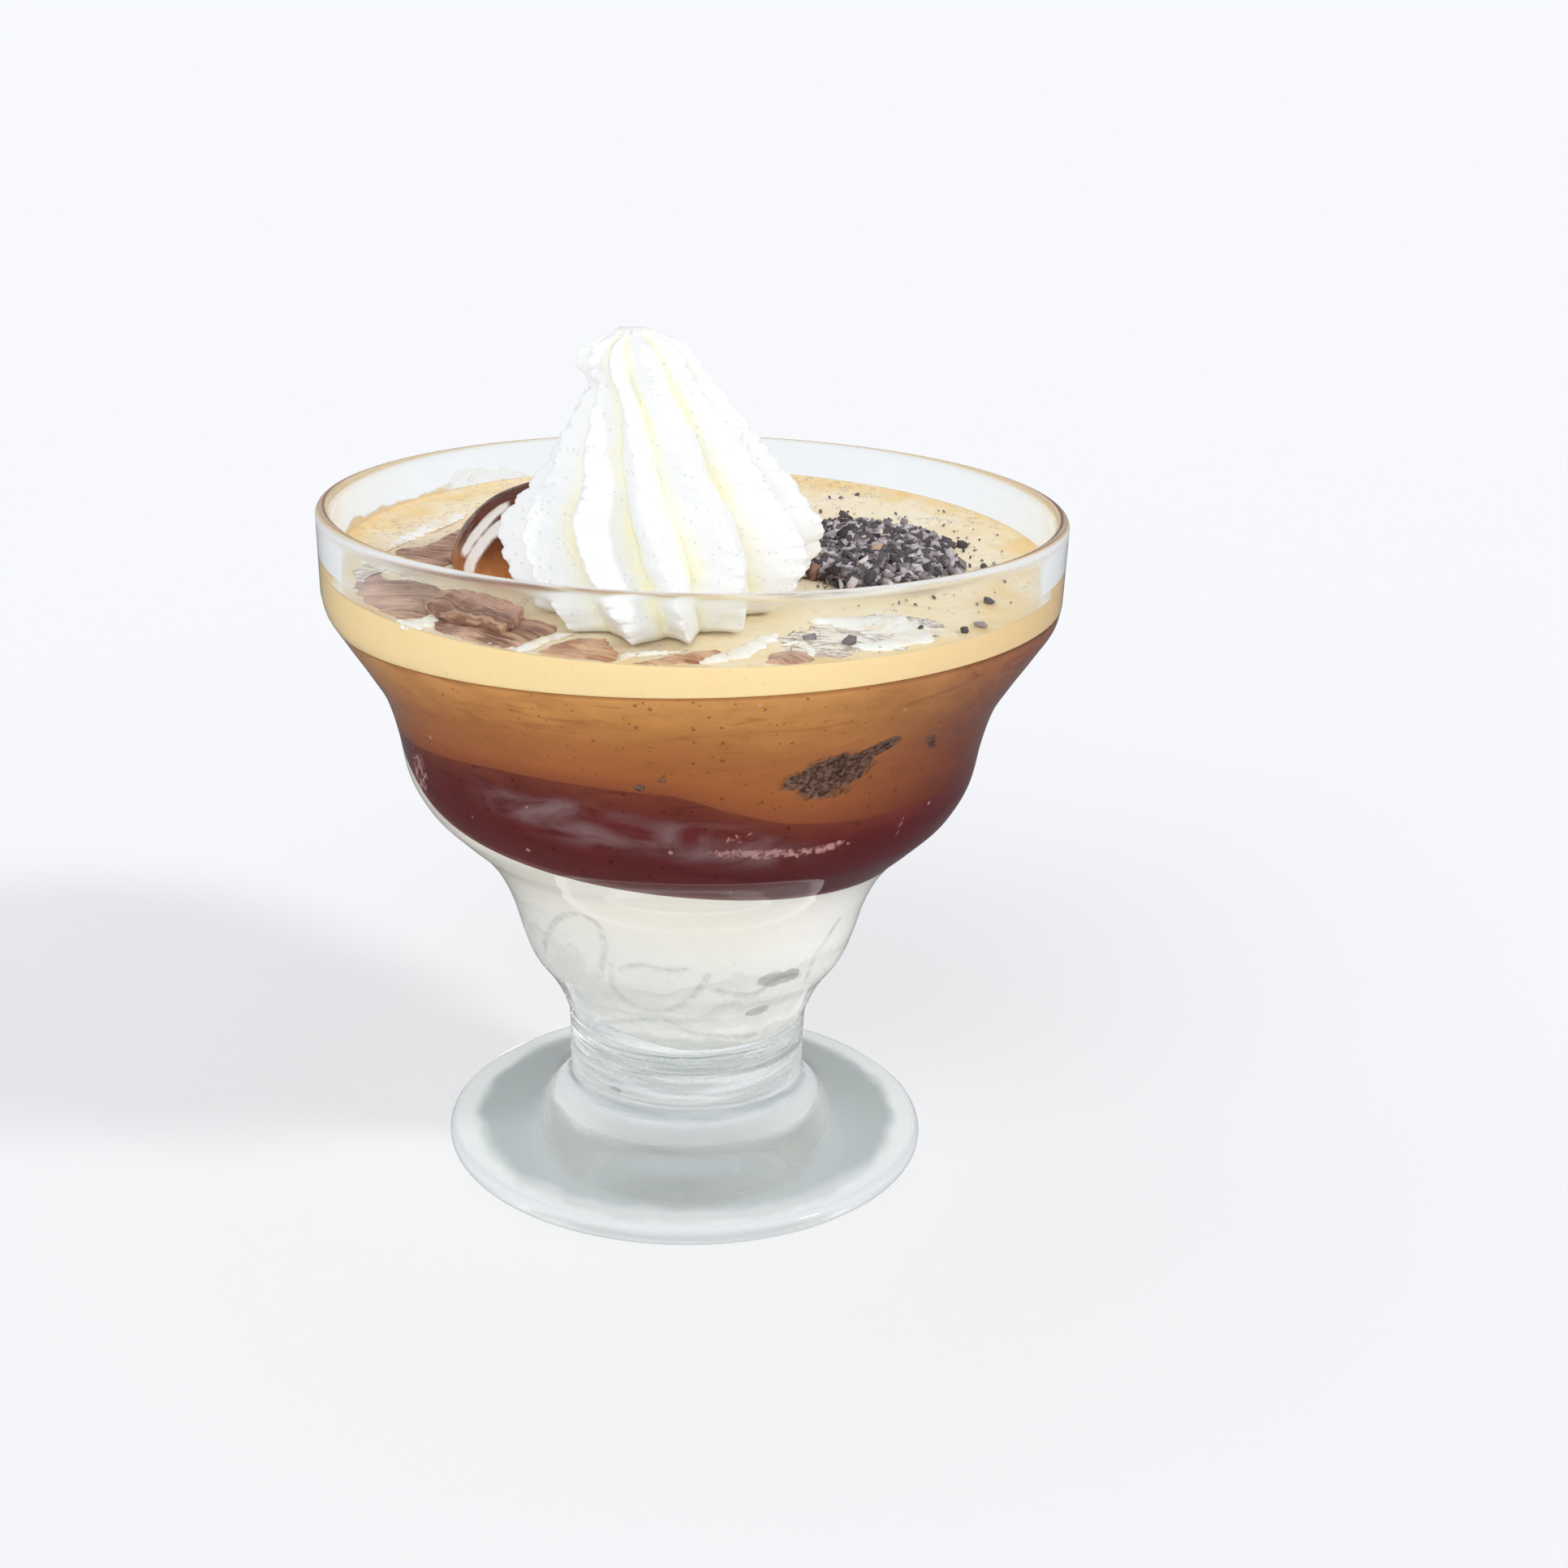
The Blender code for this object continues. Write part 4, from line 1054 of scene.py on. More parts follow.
@dataclass(frozen=True)
class Vessel:
    """The footed glass: a low cone for a foot, a stem, and a cup with three swells."""

    rim_radius: float = 56.0
    height: float = 105.2
    foot_radius: float = 38.5
    foot_edge: float = 1.6
    foot_edge_arc: float = 60.0
    band_bottom: float = 93.0
    wall_at_rim: float = 2.1
    wall_at_stem: float = 3.6
    well_top: float = 27.0
    well_floor: float = 18.0
    columns: int = 256
    drops: int = 320
    drop_heights: Point2 = (12.8, 34.0)
    drop_sizes: Point2 = (0.10, 0.34)
    outer: SmoothCurve = SmoothCurve((
        (3.0, 37.7), (4.3, 30.5), (5.7, 25.2), (7.0, 22.5), (8.6, 21.0), (10.4, 19.6), (12.6, 18.9),
        (17.0, 18.85), (22.0, 19.0), (26.0, 20.2), (30.0, 22.3), (34.0, 25.1), (38.0, 26.6), (43.0, 28.1),
        (48.0, 30.4), (52.0, 33.3), (56.0, 37.5), (60.0, 41.3), (65.0, 43.8), (71.0, 45.0), (77.0, 46.8),
        (82.0, 49.7), (87.0, 53.0), (91.0, 55.3), (95.0, 55.9), (105.2, 56.0)))

    def cavity(self, z: Array) -> Array:
        """The radius of the hollow at a height.

        Formula: the outside less the wall, which keeps its thickness along its own normal and
        grows from the rim to the stem. The well at the bottom is a quarter of an ellipse.
        """
        level = np.maximum(z, self.well_top)
        slope = self.outer(level + 0.5) - self.outer(level - 0.5)
        share = np.clip((self.band_bottom - level) / (self.band_bottom - self.well_top), 0.0, 1.0)
        wall = self.wall_at_rim + (self.wall_at_stem - self.wall_at_rim) * share
        radius = self.outer(level) - wall * np.sqrt(1.0 + slope ** 2)
        depth = np.clip((self.well_top - z) / (self.well_top - self.well_floor), 0.0, 1.0)
        return radius * np.sqrt(1.0 - depth ** 2)

    def arc(self, centre: Point2, radius: float, start: float, end: float, steps: int) -> Array:
        """Points (r, z) on an arc between two angles in degrees."""
        a = np.radians(np.linspace(start, end, steps))
        return np.column_stack((centre[0] + radius * np.cos(a), centre[1] + radius * np.sin(a)))

    def outline(self) -> Array:
        """The half section, from the underside of the foot over the rim to the well."""
        flat = np.column_stack((np.linspace(4.0, 34.0, 11), np.zeros(11)))
        edge = self.arc((self.foot_radius - self.foot_edge, self.foot_edge), self.foot_edge,
                        -90.0, self.foot_edge_arc, 14)
        z = np.concatenate((np.linspace(3.15, 12.6, 64), np.linspace(13.0, self.band_bottom, 116)))
        side = np.column_stack((self.outer(z), z))
        lip = 0.5 * self.wall_at_rim
        rim = self.arc((self.rim_radius - lip, self.height - lip), lip, 0.0, 180.0, 20)
        z = np.linspace(self.band_bottom, self.well_top, 90)
        hollow = np.column_stack((self.cavity(z), z))
        z = self.well_top - (self.well_top - self.well_floor) * np.sin(np.linspace(0.05, 1.50, 18))
        well = np.column_stack((self.cavity(z), z))
        return np.vstack((flat, edge, side, rim, hollow, well))

    def mesh(self) -> Piece:
        """Turn the half section about the axis."""
        r, z = self.outline().T[:, :, None]
        poles = np.array((0.0, 0.0, 0.0)), np.array((0.0, 0.0, self.well_floor))
        return MeshMaker.from_rows("glass_shell", around(r, angles_round(self.columns), z), poles)

    def build(self) -> None:
        """Make the glass and the drops of condensation on its stem."""
        finish = PressedGlassFinish("pressed_glass", 0.0)
        MeshMaker.place(self.mesh(), finish.material(), "clear_glass", "glass")
        rng = np.random.default_rng(11)
        azimuth = rng.uniform(-180.0, 180.0, self.drops)
        z = rng.uniform(*self.drop_heights, self.drops)
        size = rng.uniform(*self.drop_sizes, self.drops) * rng.uniform(0.5, 1.0, self.drops)
        centres = around(self.outer(z), angle_of(azimuth), z)
        sizes = np.outer(size, np.ones(3))
        drops = MeshMaker.scattered("condensation_drops", centres, sizes, Grain.BEAD, rng, 0.0)
        MeshMaker.place(drops, ClearFinish("water", 0.0, index=1.33, waviness=0.0).material(), "clear_glass")


@dataclass(frozen=True)
class Contents:
    """The heights of the surfaces between the layers, for places on the plan."""

    well_floor: float = 18.0
    well_depth: float = 9.0
    vanilla_floor_level: float = 22.4
    vanilla_floor_tilt: float = -0.28
    vanilla_top_level: float = 56.9
    vanilla_top_tilt: float = -0.125
    climb: float = 9.5
    climb_azimuth: float = -92.0
    climb_width: float = 24.0
    dark_middle: float = 71.0
    dark_edge: SmoothCurve = SmoothCurve((
        (-180.0, 70.5), (-62.0, 73.2), (-33.0, 74.9), (-5.0, 74.3), (8.0, 71.3), (20.0, 68.9),
        (36.0, 68.0), (56.0, 68.0), (70.0, 69.5), (95.0, 71.0), (180.0, 70.5)))
    milk_level: float = 91.1
    milk_tilt: float = 0.03
    foam_height: float = 97.0
    foam_tilt: float = 0.038
    meniscus: float = 0.35
    meniscus_start: float = 0.97

    def vanilla_floor(self, x: Array, y: Array, azimuth: Array, share: Array) -> Array:
        """The underside of the ice cream: a tilted plane, never through the well's floor."""
        well = self.well_floor + self.well_depth * (1.0 - np.sqrt(1.0 - (0.8 * share) ** 2))
        return np.maximum(self.vanilla_floor_level + self.vanilla_floor_tilt * x, well + 1.0)

    def vanilla_top(self, x: Array, y: Array, azimuth: Array, share: Array) -> Array:
        """The top of the ice cream: a tilted plane, drawn up the wall on the left."""
        hump = np.exp(-(turn_between(azimuth, self.climb_azimuth) / self.climb_width) ** 2)
        return self.vanilla_top_level + self.vanilla_top_tilt * x + self.climb * hump * share ** 8

    def dark_top(self, x: Array, y: Array, azimuth: Array, share: Array) -> Array:
        """The top of the dark coffee: level in the middle and wavy at the wall."""
        return self.dark_middle + (self.dark_edge(azimuth) - self.dark_middle) * share ** 2

    def milk_top(self, x: Array, y: Array, azimuth: Array, share: Array) -> Array:
        """The top of the milky coffee: a slightly tilted plane."""
        return self.milk_level + self.milk_tilt * x

    def foam_level(self, x: Array, y: Array) -> Array:
        """The foam away from the wall."""
        return self.foam_height + self.foam_tilt * y

    def ground(self, place: Point2) -> Array:
        """Where a topping's foot has its middle."""
        return np.array((*place, float(self.foam_level(*place)) + LIFT))

    def foam_relief(self, x: Array, y: Array) -> Array:
        """The foam's surface: its level with soft hummocks and small pocks, at most 0.2 each way."""
        soft = 0.13 * waves(x / 5.5, y / 5.5, seed=3, octaves=2)
        small = 0.06 * waves(x / 1.1, y / 1.1, seed=5, octaves=2)
        return self.foam_level(x, y) + np.clip(soft + small, -0.2, 0.2)

    def foam_top(self, x: Array, y: Array, azimuth: Array, share: Array) -> Array:
        """The foam's surface, which climbs the wall a little."""
        near = np.clip((share - self.meniscus_start) / (1.0 - self.meniscus_start), 0.0, 1.0)
        even = self.foam_level(x, y)
        calm = 1.0 - smooth_step(0.93, 1.0, share)
        return even + (self.foam_relief(x, y) - even) * calm + self.meniscus * near ** 2


@dataclass(frozen=True)
class Blot:
    """A soft-edged spot on a layer's side, named by the mark that it raises."""

    mark: str
    azimuth: float
    z: float
    half_width: float
    half_height: float
    tilt: float = 0.0
    strength: float = 1.0

    def raise_mark(self, azimuth: Array, z: Array, r: Array) -> Array:
        """A flat-topped hump: e to the power of -(u^2 + v^2)^2, in the spot's own turned axes."""
        across = np.radians(turn_between(azimuth, self.azimuth)) * r
        up = z - self.z
        c, s = math.cos(math.radians(self.tilt)), math.sin(math.radians(self.tilt))
        u = (across * c + up * s) / self.half_width
        v = (up * c - across * s) / self.half_height
        return self.strength * np.exp(-(u * u + v * v) ** 2)


@dataclass(frozen=True)
class Trace:
    """A thin line on a layer's side through (azimuth, height) keys."""

    line: tuple[Point2, ...]
    width: float = 0.45
    mark: str = "trace"

    def raise_mark(self, azimuth: Array, z: Array, r: Array) -> Array:
        """A ridge along the line: e to the power of -(distance / width)^2."""
        away = np.full(z.shape, np.inf)
        for place, height in open_line(self.line, 30 * len(self.line)):
            across = np.radians(turn_between(azimuth, place)) * r
            away = np.minimum(away, across ** 2 + (z - height) ** 2)
        return np.exp(-away / self.width ** 2)


@dataclass(frozen=True)
class Layer:
    """One layer of the contents: a closed body between two surfaces, out to the wall.

    The azimuth brightest is where it has no painted shade.
    """

    name: str
    node: str
    vessel: Vessel
    floor: Surface
    top: Surface
    floor_rows: int = 8
    side_rows: int = 50
    top_rows: int = 8
    half_gap: float = 0.15
    brightest: float = -8.0
    blots: tuple[Blot | Trace, ...] = ()

    def edge(self, surface: Surface, angle: Array, azimuth: Array) -> Array:
        """The height at which a surface meets the wall.

        Formula: radius and height depend on each other, so the two are worked out in turn,
        starting half-way up, until they settle.
        """
        z = np.full(len(angle), 55.0)
        for _ in range(30):
            r = self.vessel.cavity(z) + INTO_WALL
            z = surface(r * np.cos(angle), r * np.sin(angle), azimuth, np.ones(len(angle)))
        return z

    def rows(self) -> tuple[Array, Array, Array, Array]:
        """The points of the layer.

        Returns:
            The rows of points from the middle of the floor over the side to the middle of the
            top, each row's share of the way out, how far down the side each point is, and
            which rows belong to the side.
        """
        angle = angles_round(COLUMNS)
        azimuth = azimuth_of(np.cos(angle), np.sin(angle))
        blocks = []
        low, high = (self.edge(surface, angle, azimuth) for surface in (self.floor, self.top))
        for surface, edge, count, way in ((self.floor, low, self.floor_rows, 1.0),
                                          (self.top, high, self.top_rows, -1.0)):
            share = (np.arange(1, count + 1) / (count + 0.35))[:, None]
            reach = (self.vessel.cavity(edge) + INTO_WALL) * share
            x, y = reach * np.cos(angle), reach * np.sin(angle)
            z = surface(x, y, azimuth, share) + way * self.half_gap * (1.0 - share ** 8)
            blocks.append(np.stack((x, y, z), axis=-1))
        down = np.linspace(1.0, 0.0, self.side_rows)[:, None]
        z = high + (low - high) * down
        side = around(self.vessel.cavity(z) + INTO_WALL, angle, z)
        points = np.concatenate((blocks[0], side, blocks[1][::-1]))
        counts = (self.floor_rows, self.side_rows, self.top_rows)
        depth = np.concatenate((np.ones(self.floor_rows), down[:, 0], np.zeros(self.top_rows)))
        share = np.hypot(points[..., 0], points[..., 1]) / (self.vessel.cavity(points[..., 2]) + INTO_WALL)
        return points, share, np.repeat(depth[:, None], COLUMNS, axis=1), np.repeat((0.0, 1.0, 0.0), counts)

    def marks(self, points: Array, share: Array, depth: Array, is_side: Array) -> dict[str, Array]:
        """The numbers that the finish reads: depth, painted shade (high at both sides) and the blots."""
        marks = {"depth": depth}
        r = np.hypot(points[..., 0], points[..., 1])
        azimuth = azimuth_of(points[..., 0], points[..., 1])
        # The shade mark carries painted light and shade: it rises away from the brightest azimuth towards
        # both sides, most on the right. The coffee and the foam are darkened by it, and the ice cream is
        # lightened.
        away = np.abs(turn_between(azimuth, self.brightest))
        right = smooth_step(-20.0, 20.0, azimuth)
        shade = (0.25 + 0.75 * right) * smooth_step(15.0, 75.0, away)
        marks["shade"] = shade * smooth_step(170.0, 120.0, away)
        for blot in self.blots:
            spot = blot.raise_mark(azimuth, points[..., 2], r)
            marks[blot.mark] = np.maximum(marks.get(blot.mark, 0.0), spot)
        return marks

    def build(self, finish: Finish) -> None:
        """Make the layer and place it."""
        points, share, depth, is_side = self.rows()
        obj = MeshMaker.from_rows(self.name, points, marks=self.marks(points, share, depth, is_side))
        MeshMaker.place(obj, finish.material(), self.node, self.node)


@dataclass(frozen=True)
class FoamLayer(Layer):
    """The foam, whose top has hummocks and pocks and is marked for its looks."""

    froth_spots: Triples = (
        (-43.0, 10.0, 8.0), (-38.0, 18.0, 8.0), (-30.0, 30.0, 9.0), (-44.0, -3.0, 5.0), (27.0, 40.0, 8.0),
        (42.0, 24.0, 6.0), (0.0, 46.0, 9.0), (20.0, 48.0, 6.0))
    cocoa_spots: Triples = (
        (-41.0, -28.0, 10.0), (-38.0, 4.0, 8.0), (-24.0, -46.0, 8.0), (-6.0, -50.0, 8.0), (17.0, -44.0, 4.0))
    pale_spots: Triples = (
        (-36.0, -37.0, 4.0), (-20.0, -45.0, 4.0), (-5.0, -50.0, 4.0), (8.0, -45.0, 6.0), (24.0, -38.0, 8.0),
        (34.0, 24.0, 7.0), (-40.0, 8.0, 5.0), (-41.0, -12.0, 9.0), (-44.0, -20.0, 6.0), (-30.0, -40.0, 7.0))

    def marks(self, points: Array, share: Array, depth: Array, is_side: Array) -> dict[str, Array]:
        """Add side, rim, froth, cocoa and pale, each a sum of humps round its spots."""
        marks = super().marks(points, share, depth, is_side)
        x, y = points[..., 0], points[..., 1]
        marks["side"] = np.repeat(is_side[:, None], COLUMNS, axis=1)
        marks["rim"] = smooth_step(0.84, 0.98, share + 0.05 * waves(x / 4.0, y / 4.0, seed=21, octaves=2))
        ragged = 1.0 + 0.8 * waves(x / 3.0, y / 3.0, seed=33, octaves=3)
        spots = {"froth": self.froth_spots, "cocoa": self.cocoa_spots, "pale": self.pale_spots}
        for mark, places in spots.items():
            humps = [np.exp(-((x - cx) ** 2 + (y - cy) ** 2) / size ** 2) for cx, cy, size in places]
            marks[mark] = np.clip(np.sum(humps, axis=0) * ragged, 0.0, 1.0)
        return marks


@dataclass(frozen=True)
class Pad:
    """A thin rounded patch that lies on the foam: its edge is sunk and its top is crowned."""

    name: str
    outline: tuple[Point2, ...]
    thickness: float
    seed: int
    pale: float
    wander: float = 0.45
    slot: str = "chocolate_chunk"
    columns: int = 200
    rows: int = 26
    reach: float = 52.4

    def build(self, contents: Contents, finish: Finish) -> None:
        """Make the patch and place it.

        Formula: rings shrink from the outline to its middle. A ring at share s of the way
        out stands at the thickness times (1 - s^4)^(1/2) above the foam, with small lumps.
        """
        edge = closed_outline(self.outline, self.columns)
        edge = edge * np.minimum(1.0, self.reach / np.linalg.norm(edge, axis=1))[:, None]
        middle = edge.mean(axis=0)
        share = np.linspace(1.0, 0.04, self.rows)[:, None, None]
        plan = middle + (edge - middle) * share
        wander = np.stack([waves(plan[..., 0] / 1.6, plan[..., 1] / 1.6, seed=self.seed + k, octaves=3)
                           for k in (0, 7)], axis=-1)
        plan = plan + self.wander * wander * share
        x, y = plan[..., 0], plan[..., 1]
        crown = np.sqrt(np.maximum(1.0 - share[..., 0] ** 4, 0.0))
        lumps = 0.5 + 0.5 * waves(x / 1.9, y / 1.9, seed=self.seed + 13, octaves=3)
        rise = self.thickness * crown * (0.55 + 0.45 * lumps)
        z = contents.foam_relief(x, y) - 0.18 + rise + 0.20 * crown
        tops = np.stack((x, y, z), axis=-1)
        floor = tops[0].copy()
        floor[:, 2] -= 0.5
        points = np.concatenate((floor[None], tops))
        pole = np.array((*middle, contents.foam_level(*middle) - 0.8))
        pale = np.clip(self.pale + 0.6 * waves(x / 3.2, y / 3.2, seed=self.seed + 29, octaves=3), 0.0, 1.0)
        pale = np.concatenate((pale[:1], pale))
        poles = pole, tops[-1].mean(axis=0)
        obj = MeshMaker.from_rows(self.name, points, poles, {"pale": pale, "thin": pale})
        MeshMaker.place(obj, finish.material(), self.slot)


@dataclass(frozen=True)
class Ribbon:
    """A low rounded run of milk or syrup on the foam, along a line with a width at each key."""

    name: str
    thickness: float
    seed: int
    line: Triples
    slot: str = "whipped_cream"
    steps: int = 150
    columns: int = 28

    def build(self, contents: Contents, finish: Finish) -> None:
        """Make the run and place it.

        Formula: a flat ellipse is carried along the line. Its half-width comes from the keys
        and goes to nothing at both ends by the square root of a sine.
        """
        keys = open_line(self.line, self.steps)
        path, half = keys[:, :2], keys[:, 2]
        way = np.gradient(path, axis=0)
        way = way / np.linalg.norm(way, axis=1, keepdims=True)
        side = np.column_stack((-way[:, 1], way[:, 0]))
        along = np.linspace(0.0, 1.0, self.steps)
        half = half * np.sqrt(np.sin(np.pi * np.clip(along, 0.004, 0.996)))
        half = half * (1.0 + 0.35 * waves(along * 22.0, 0.0, seed=self.seed, octaves=2))
        turn = angles_round(self.columns)
        plan = path[:, None] + side[:, None] * (half[:, None] * np.cos(turn))[..., None]
        x, y = plan[..., 0], plan[..., 1]
        rise = np.sin(turn) * self.thickness * np.minimum(1.0, half / 0.8)[:, None]
        z = contents.foam_relief(x, y) + rise + 0.03
        thin = np.clip(0.45 + 0.7 * waves(x / 2.2, y / 2.2, seed=self.seed + 3, octaves=3), 0.0, 1.0)
        obj = MeshMaker.from_rows(self.name, np.stack((x, y, z), axis=-1), marks={"thin": thin})
        MeshMaker.place(obj, finish.material(), self.slot)


@dataclass(frozen=True)
class Scoop:
    """The scoop of chocolate ice cream under sauce: half an ellipsoid on the foam."""

    centre: Point2 = (-16.5, -5.0)
    radius: float = 19.5
    height: float = 12.0
    columns: int = 320
    rows: int = 150
    run_width: float = 1.6
    runs: tuple[Triples, ...] = (
        ((-28.2, -10.8, 106.1), (-30.6, -12.4, 103.6), (-32.9, -13.9, 100.7)),
        ((-28.4, -15.2, 104.3), (-30.6, -15.9, 101.2), (-32.5, -16.1, 98.0)))

    def mesh(self, contents: Contents) -> Piece:
        """Make the dome: rings at even tilts, with the soft runs of the sauce raised on it."""
        tilt = np.radians(np.linspace(0.0, 90.0, self.rows + 1)[:-1])[:, None]
        angle = angles_round(self.columns)
        wide = 1.0 + 0.010 * waves(3.0 * np.cos(angle), 3.0 * np.sin(angle), 4.0 * tilt, seed=8, octaves=2)
        x = self.centre[0] + self.radius * np.cos(tilt) * np.cos(angle) * wide
        y = self.centre[1] + self.radius * np.cos(tilt) * np.sin(angle) * wide
        z = contents.foam_level(x, y) + LIFT + self.height * np.sin(tilt) * wide
        points = np.stack((x, y, z), axis=-1)
        # The runs are raised a little and marked. The sauce paints them pale, partly as drizzle and partly as
        # a painted highlight.
        streak = np.zeros(x.shape)
        for run in self.runs:
            line = open_line(run, 60)
            away = np.min([np.linalg.norm(points - key, axis=-1) for key in line], axis=0)
            streak = np.maximum(streak, np.exp(-(away / self.run_width) ** 2))
        points[..., 2] += 0.18 * streak
        low = 1.0 - np.clip((z - contents.foam_level(x, y)) / self.height, 0.0, 1.0)
        ground = contents.ground(self.centre)
        poles = ground, ground + (0.0, 0.0, self.height)
        return MeshMaker.from_rows("chocolate_scoop_skin", points, poles, {"streak": streak, "low": low})

    def build(self, contents: Contents) -> None:
        """Make the scoop and place it."""
        finish = SauceFinish("chocolate_sauce", 0.22)
        MeshMaker.place(self.mesh(contents), finish.material(), "chocolate_ice_cream", "chocolate_scoop")


@dataclass(frozen=True)
class Rosette:
    """The piped cream: a star-shaped section carried up a leaning axis."""

    centre: Point2 = (-5.0, -23.6)
    top: float = 134.0
    grooves: tuple[float, ...] = (
        -181.0, -145.0, -109.0, -73.0, -43.0, -19.0, 6.0, 21.0, 47.0, 77.0, 107.0, 143.0)
    twist: float = 0.50
    twist_side: float = 0.45
    groove_foot: float = 0.34
    groove_tip: float = 0.24
    lobe_width: float = 30.0
    foot_fill: float = 0.55
    foot_height: float = 7.0
    sharpness: float = 0.6
    crest_power: float = 1.25
    lobe_power: float = 0.8
    slump: float = 0.31
    slump_power: float = 6.0
    slump_top: float = 0.30
    teeth: float = 0.55
    fine_teeth: float = 0.18
    toe: float = 1.1
    tuck: float = 0.8
    droop: float = 0.4
    lumps: float = 0.30
    sway: float = 0.045
    row_power: float = 0.93
    knob: float = 0.9
    knob_height: float = 33.8
    nick_height: float = 30.2
    least_radius: float = 0.25
    lobe_columns: int = 40
    rows: int = 200
    radius: SmoothCurve = SmoothCurve((
        (0.0, 17.2), (2.0, 18.6), (4.5, 20.6), (7.5, 22.1), (10.5, 22.4), (13.5, 20.8), (16.0, 18.9),
        (19.0, 16.4), (22.5, 14.2), (26.0, 11.6), (29.0, 9.6), (32.0, 8.4), (34.5, 7.4), (36.2, 5.9),
        (37.3, 2.6)))
    lean: SmoothCurve = SmoothCurve((
        (0.0, 0.0), (18.0, 0.7), (27.0, -0.6), (33.0, -2.6), (37.4, -3.7)))

    def lobes(self) -> tuple[Array, Array, Array, Array]:
        """The columns of the rosette at its foot.

        Formula: a lobe mixes a pointed profile, 1 - |cos(pi u)|^p, with a round one,
        sin(pi u)^q, at the share u of its width. A groove between wide lobes is deeper, by
        the square root of their mean width, and the depth changes evenly across a lobe.

        Returns:
            For each column its angle, its lobe's height from 0 to 1, the factor of the
            groove's depth and the number of its lobe.
        """
        edges = np.append(self.grooves, self.grooves[0] + 360.0)
        width = np.diff(edges)
        deep = np.sqrt(0.5 * (width + np.roll(width, 1)) / self.lobe_width)
        across = np.tile(np.arange(self.lobe_columns) / self.lobe_columns, len(width))
        which = np.repeat(np.arange(len(width)), self.lobe_columns)
        pointed = 1.0 - np.abs(np.cos(math.pi * across)) ** self.crest_power
        rounded = np.sin(math.pi * across) ** self.lobe_power
        lobe = self.sharpness * pointed + (1.0 - self.sharpness) * rounded
        depth = deep[which] * (1.0 - across) + np.roll(deep, -1)[which] * across
        return angle_of(edges[which] + width[which] * across), lobe, depth, which

    def twisted(self, foot_angle: Array, share: Array) -> Array:
        """Where the columns stand at a share of the height: the turn is found by repeating it."""
        grown = 1.0 - (1.0 - share) ** 2
        angle = foot_angle + 0.0 * share
        for _ in range(20):
            angle = foot_angle - grown * (self.twist - self.twist_side * np.cos(angle))
        return angle

    def mesh(self, contents: Contents) -> Piece:
        """Make the rosette.

        Formula: the radius at a height shrinks in the grooves between the lobes. The columns
        turn with height, fast at the foot and most on the left, which twists the lobes.
        Crests get scallops and teeth, the sizes of sines up the lobe, each lobe its own. The
        tip has a knob on the left with a nick under it.
        """
        ground = float(contents.foam_level(*self.centre))
        rise = self.top - ground
        share = (np.linspace(0.0, 1.0, self.rows + 1)[:-1] ** self.row_power)[:, None]
        foot_angle, lobe, deep, which = (column[None] for column in self.lobes())
        height = share * rise
        ring = 2.0 * np.cos(foot_angle), 2.0 * np.sin(foot_angle)
        angle = self.twisted(foot_angle, share) + self.sway * waves(height / 5.0, *ring, seed=2, octaves=2)
        depth = (self.groove_foot + (self.groove_tip - self.groove_foot) * share) * deep
        depth = depth * (1.0 + 0.35 * waves(height / 7.0, 2.0 * ring[0], 2.0 * ring[1], seed=4))
        depth = depth * (1.0 - self.foot_fill * np.maximum(0.0, 1.0 - height / self.foot_height))
        front = (0.5 - 0.5 * np.sin(angle)) ** self.slump_power
        left = (0.5 - 0.5 * np.cos(angle)) ** 2
        spread = self.slump * front * np.maximum(0.0, 1.0 - share / self.slump_top)
        r = self.radius(height) * (1.0 - depth * (1.0 - lobe) + spread)
        crest = lobe ** 4
        slow = 0.8 * waves(height / 5.0, which * 3.1, seed=6)
        scallop = np.abs(np.sin(math.pi * (height / 2.3 + 0.37 * which + slow))) - 0.6
        tooth = np.abs(np.sin(math.pi * (height / 0.8 + 0.7 * which + 3.0 * slow))) - 0.6
        r = r + (self.teeth * scallop + self.fine_teeth * tooth) * crest * np.minimum(1.0, r / 8.0)
        r = r + self.lumps * waves(height / 3.4, 2.5 * ring[0], 2.5 * ring[1], seed=12, octaves=3)
        r = r + self.toe * (lobe ** 5 - 0.5) * front ** 0.3 * np.exp(-(height / 2.2) ** 2)
        r = r - self.tuck * np.exp(-(height / 0.5) ** 2)
        knob = np.exp(-((height - self.knob_height) / 1.6) ** 2)
        nick = np.exp(-((height - self.nick_height) / 1.2) ** 2)
        r = r + self.knob * left * (knob - nick)
        r = np.maximum(r, self.least_radius)
        x = self.centre[0] + self.lean(height) + r * np.cos(angle)
        y = self.centre[1] + r * np.sin(angle)
        z = contents.foam_level(x, y) * (1.0 - share) + (self.top - LIFT) * share + LIFT
        hang = np.sin(math.pi * share) ** 0.5
        droop = self.droop * crest * waves(height / 2.6, which * 2.9, seed=15) * hang
        points = np.stack((x, y, z + droop), axis=-1)
        tip = np.array((self.centre[0] + float(self.lean(rise)), self.centre[1], self.top))
        poles = contents.ground(self.centre), tip
        return MeshMaker.from_rows("cream_rosette", points, poles, {"groove": 1.0 - lobe + 0.0 * share})

    def build(self, contents: Contents) -> None:
        """Make the rosette and place it."""
        MeshMaker.place(self.mesh(contents), CreamFinish("whipped_cream").material(), "whipped_cream",
                        "whipped_cream")


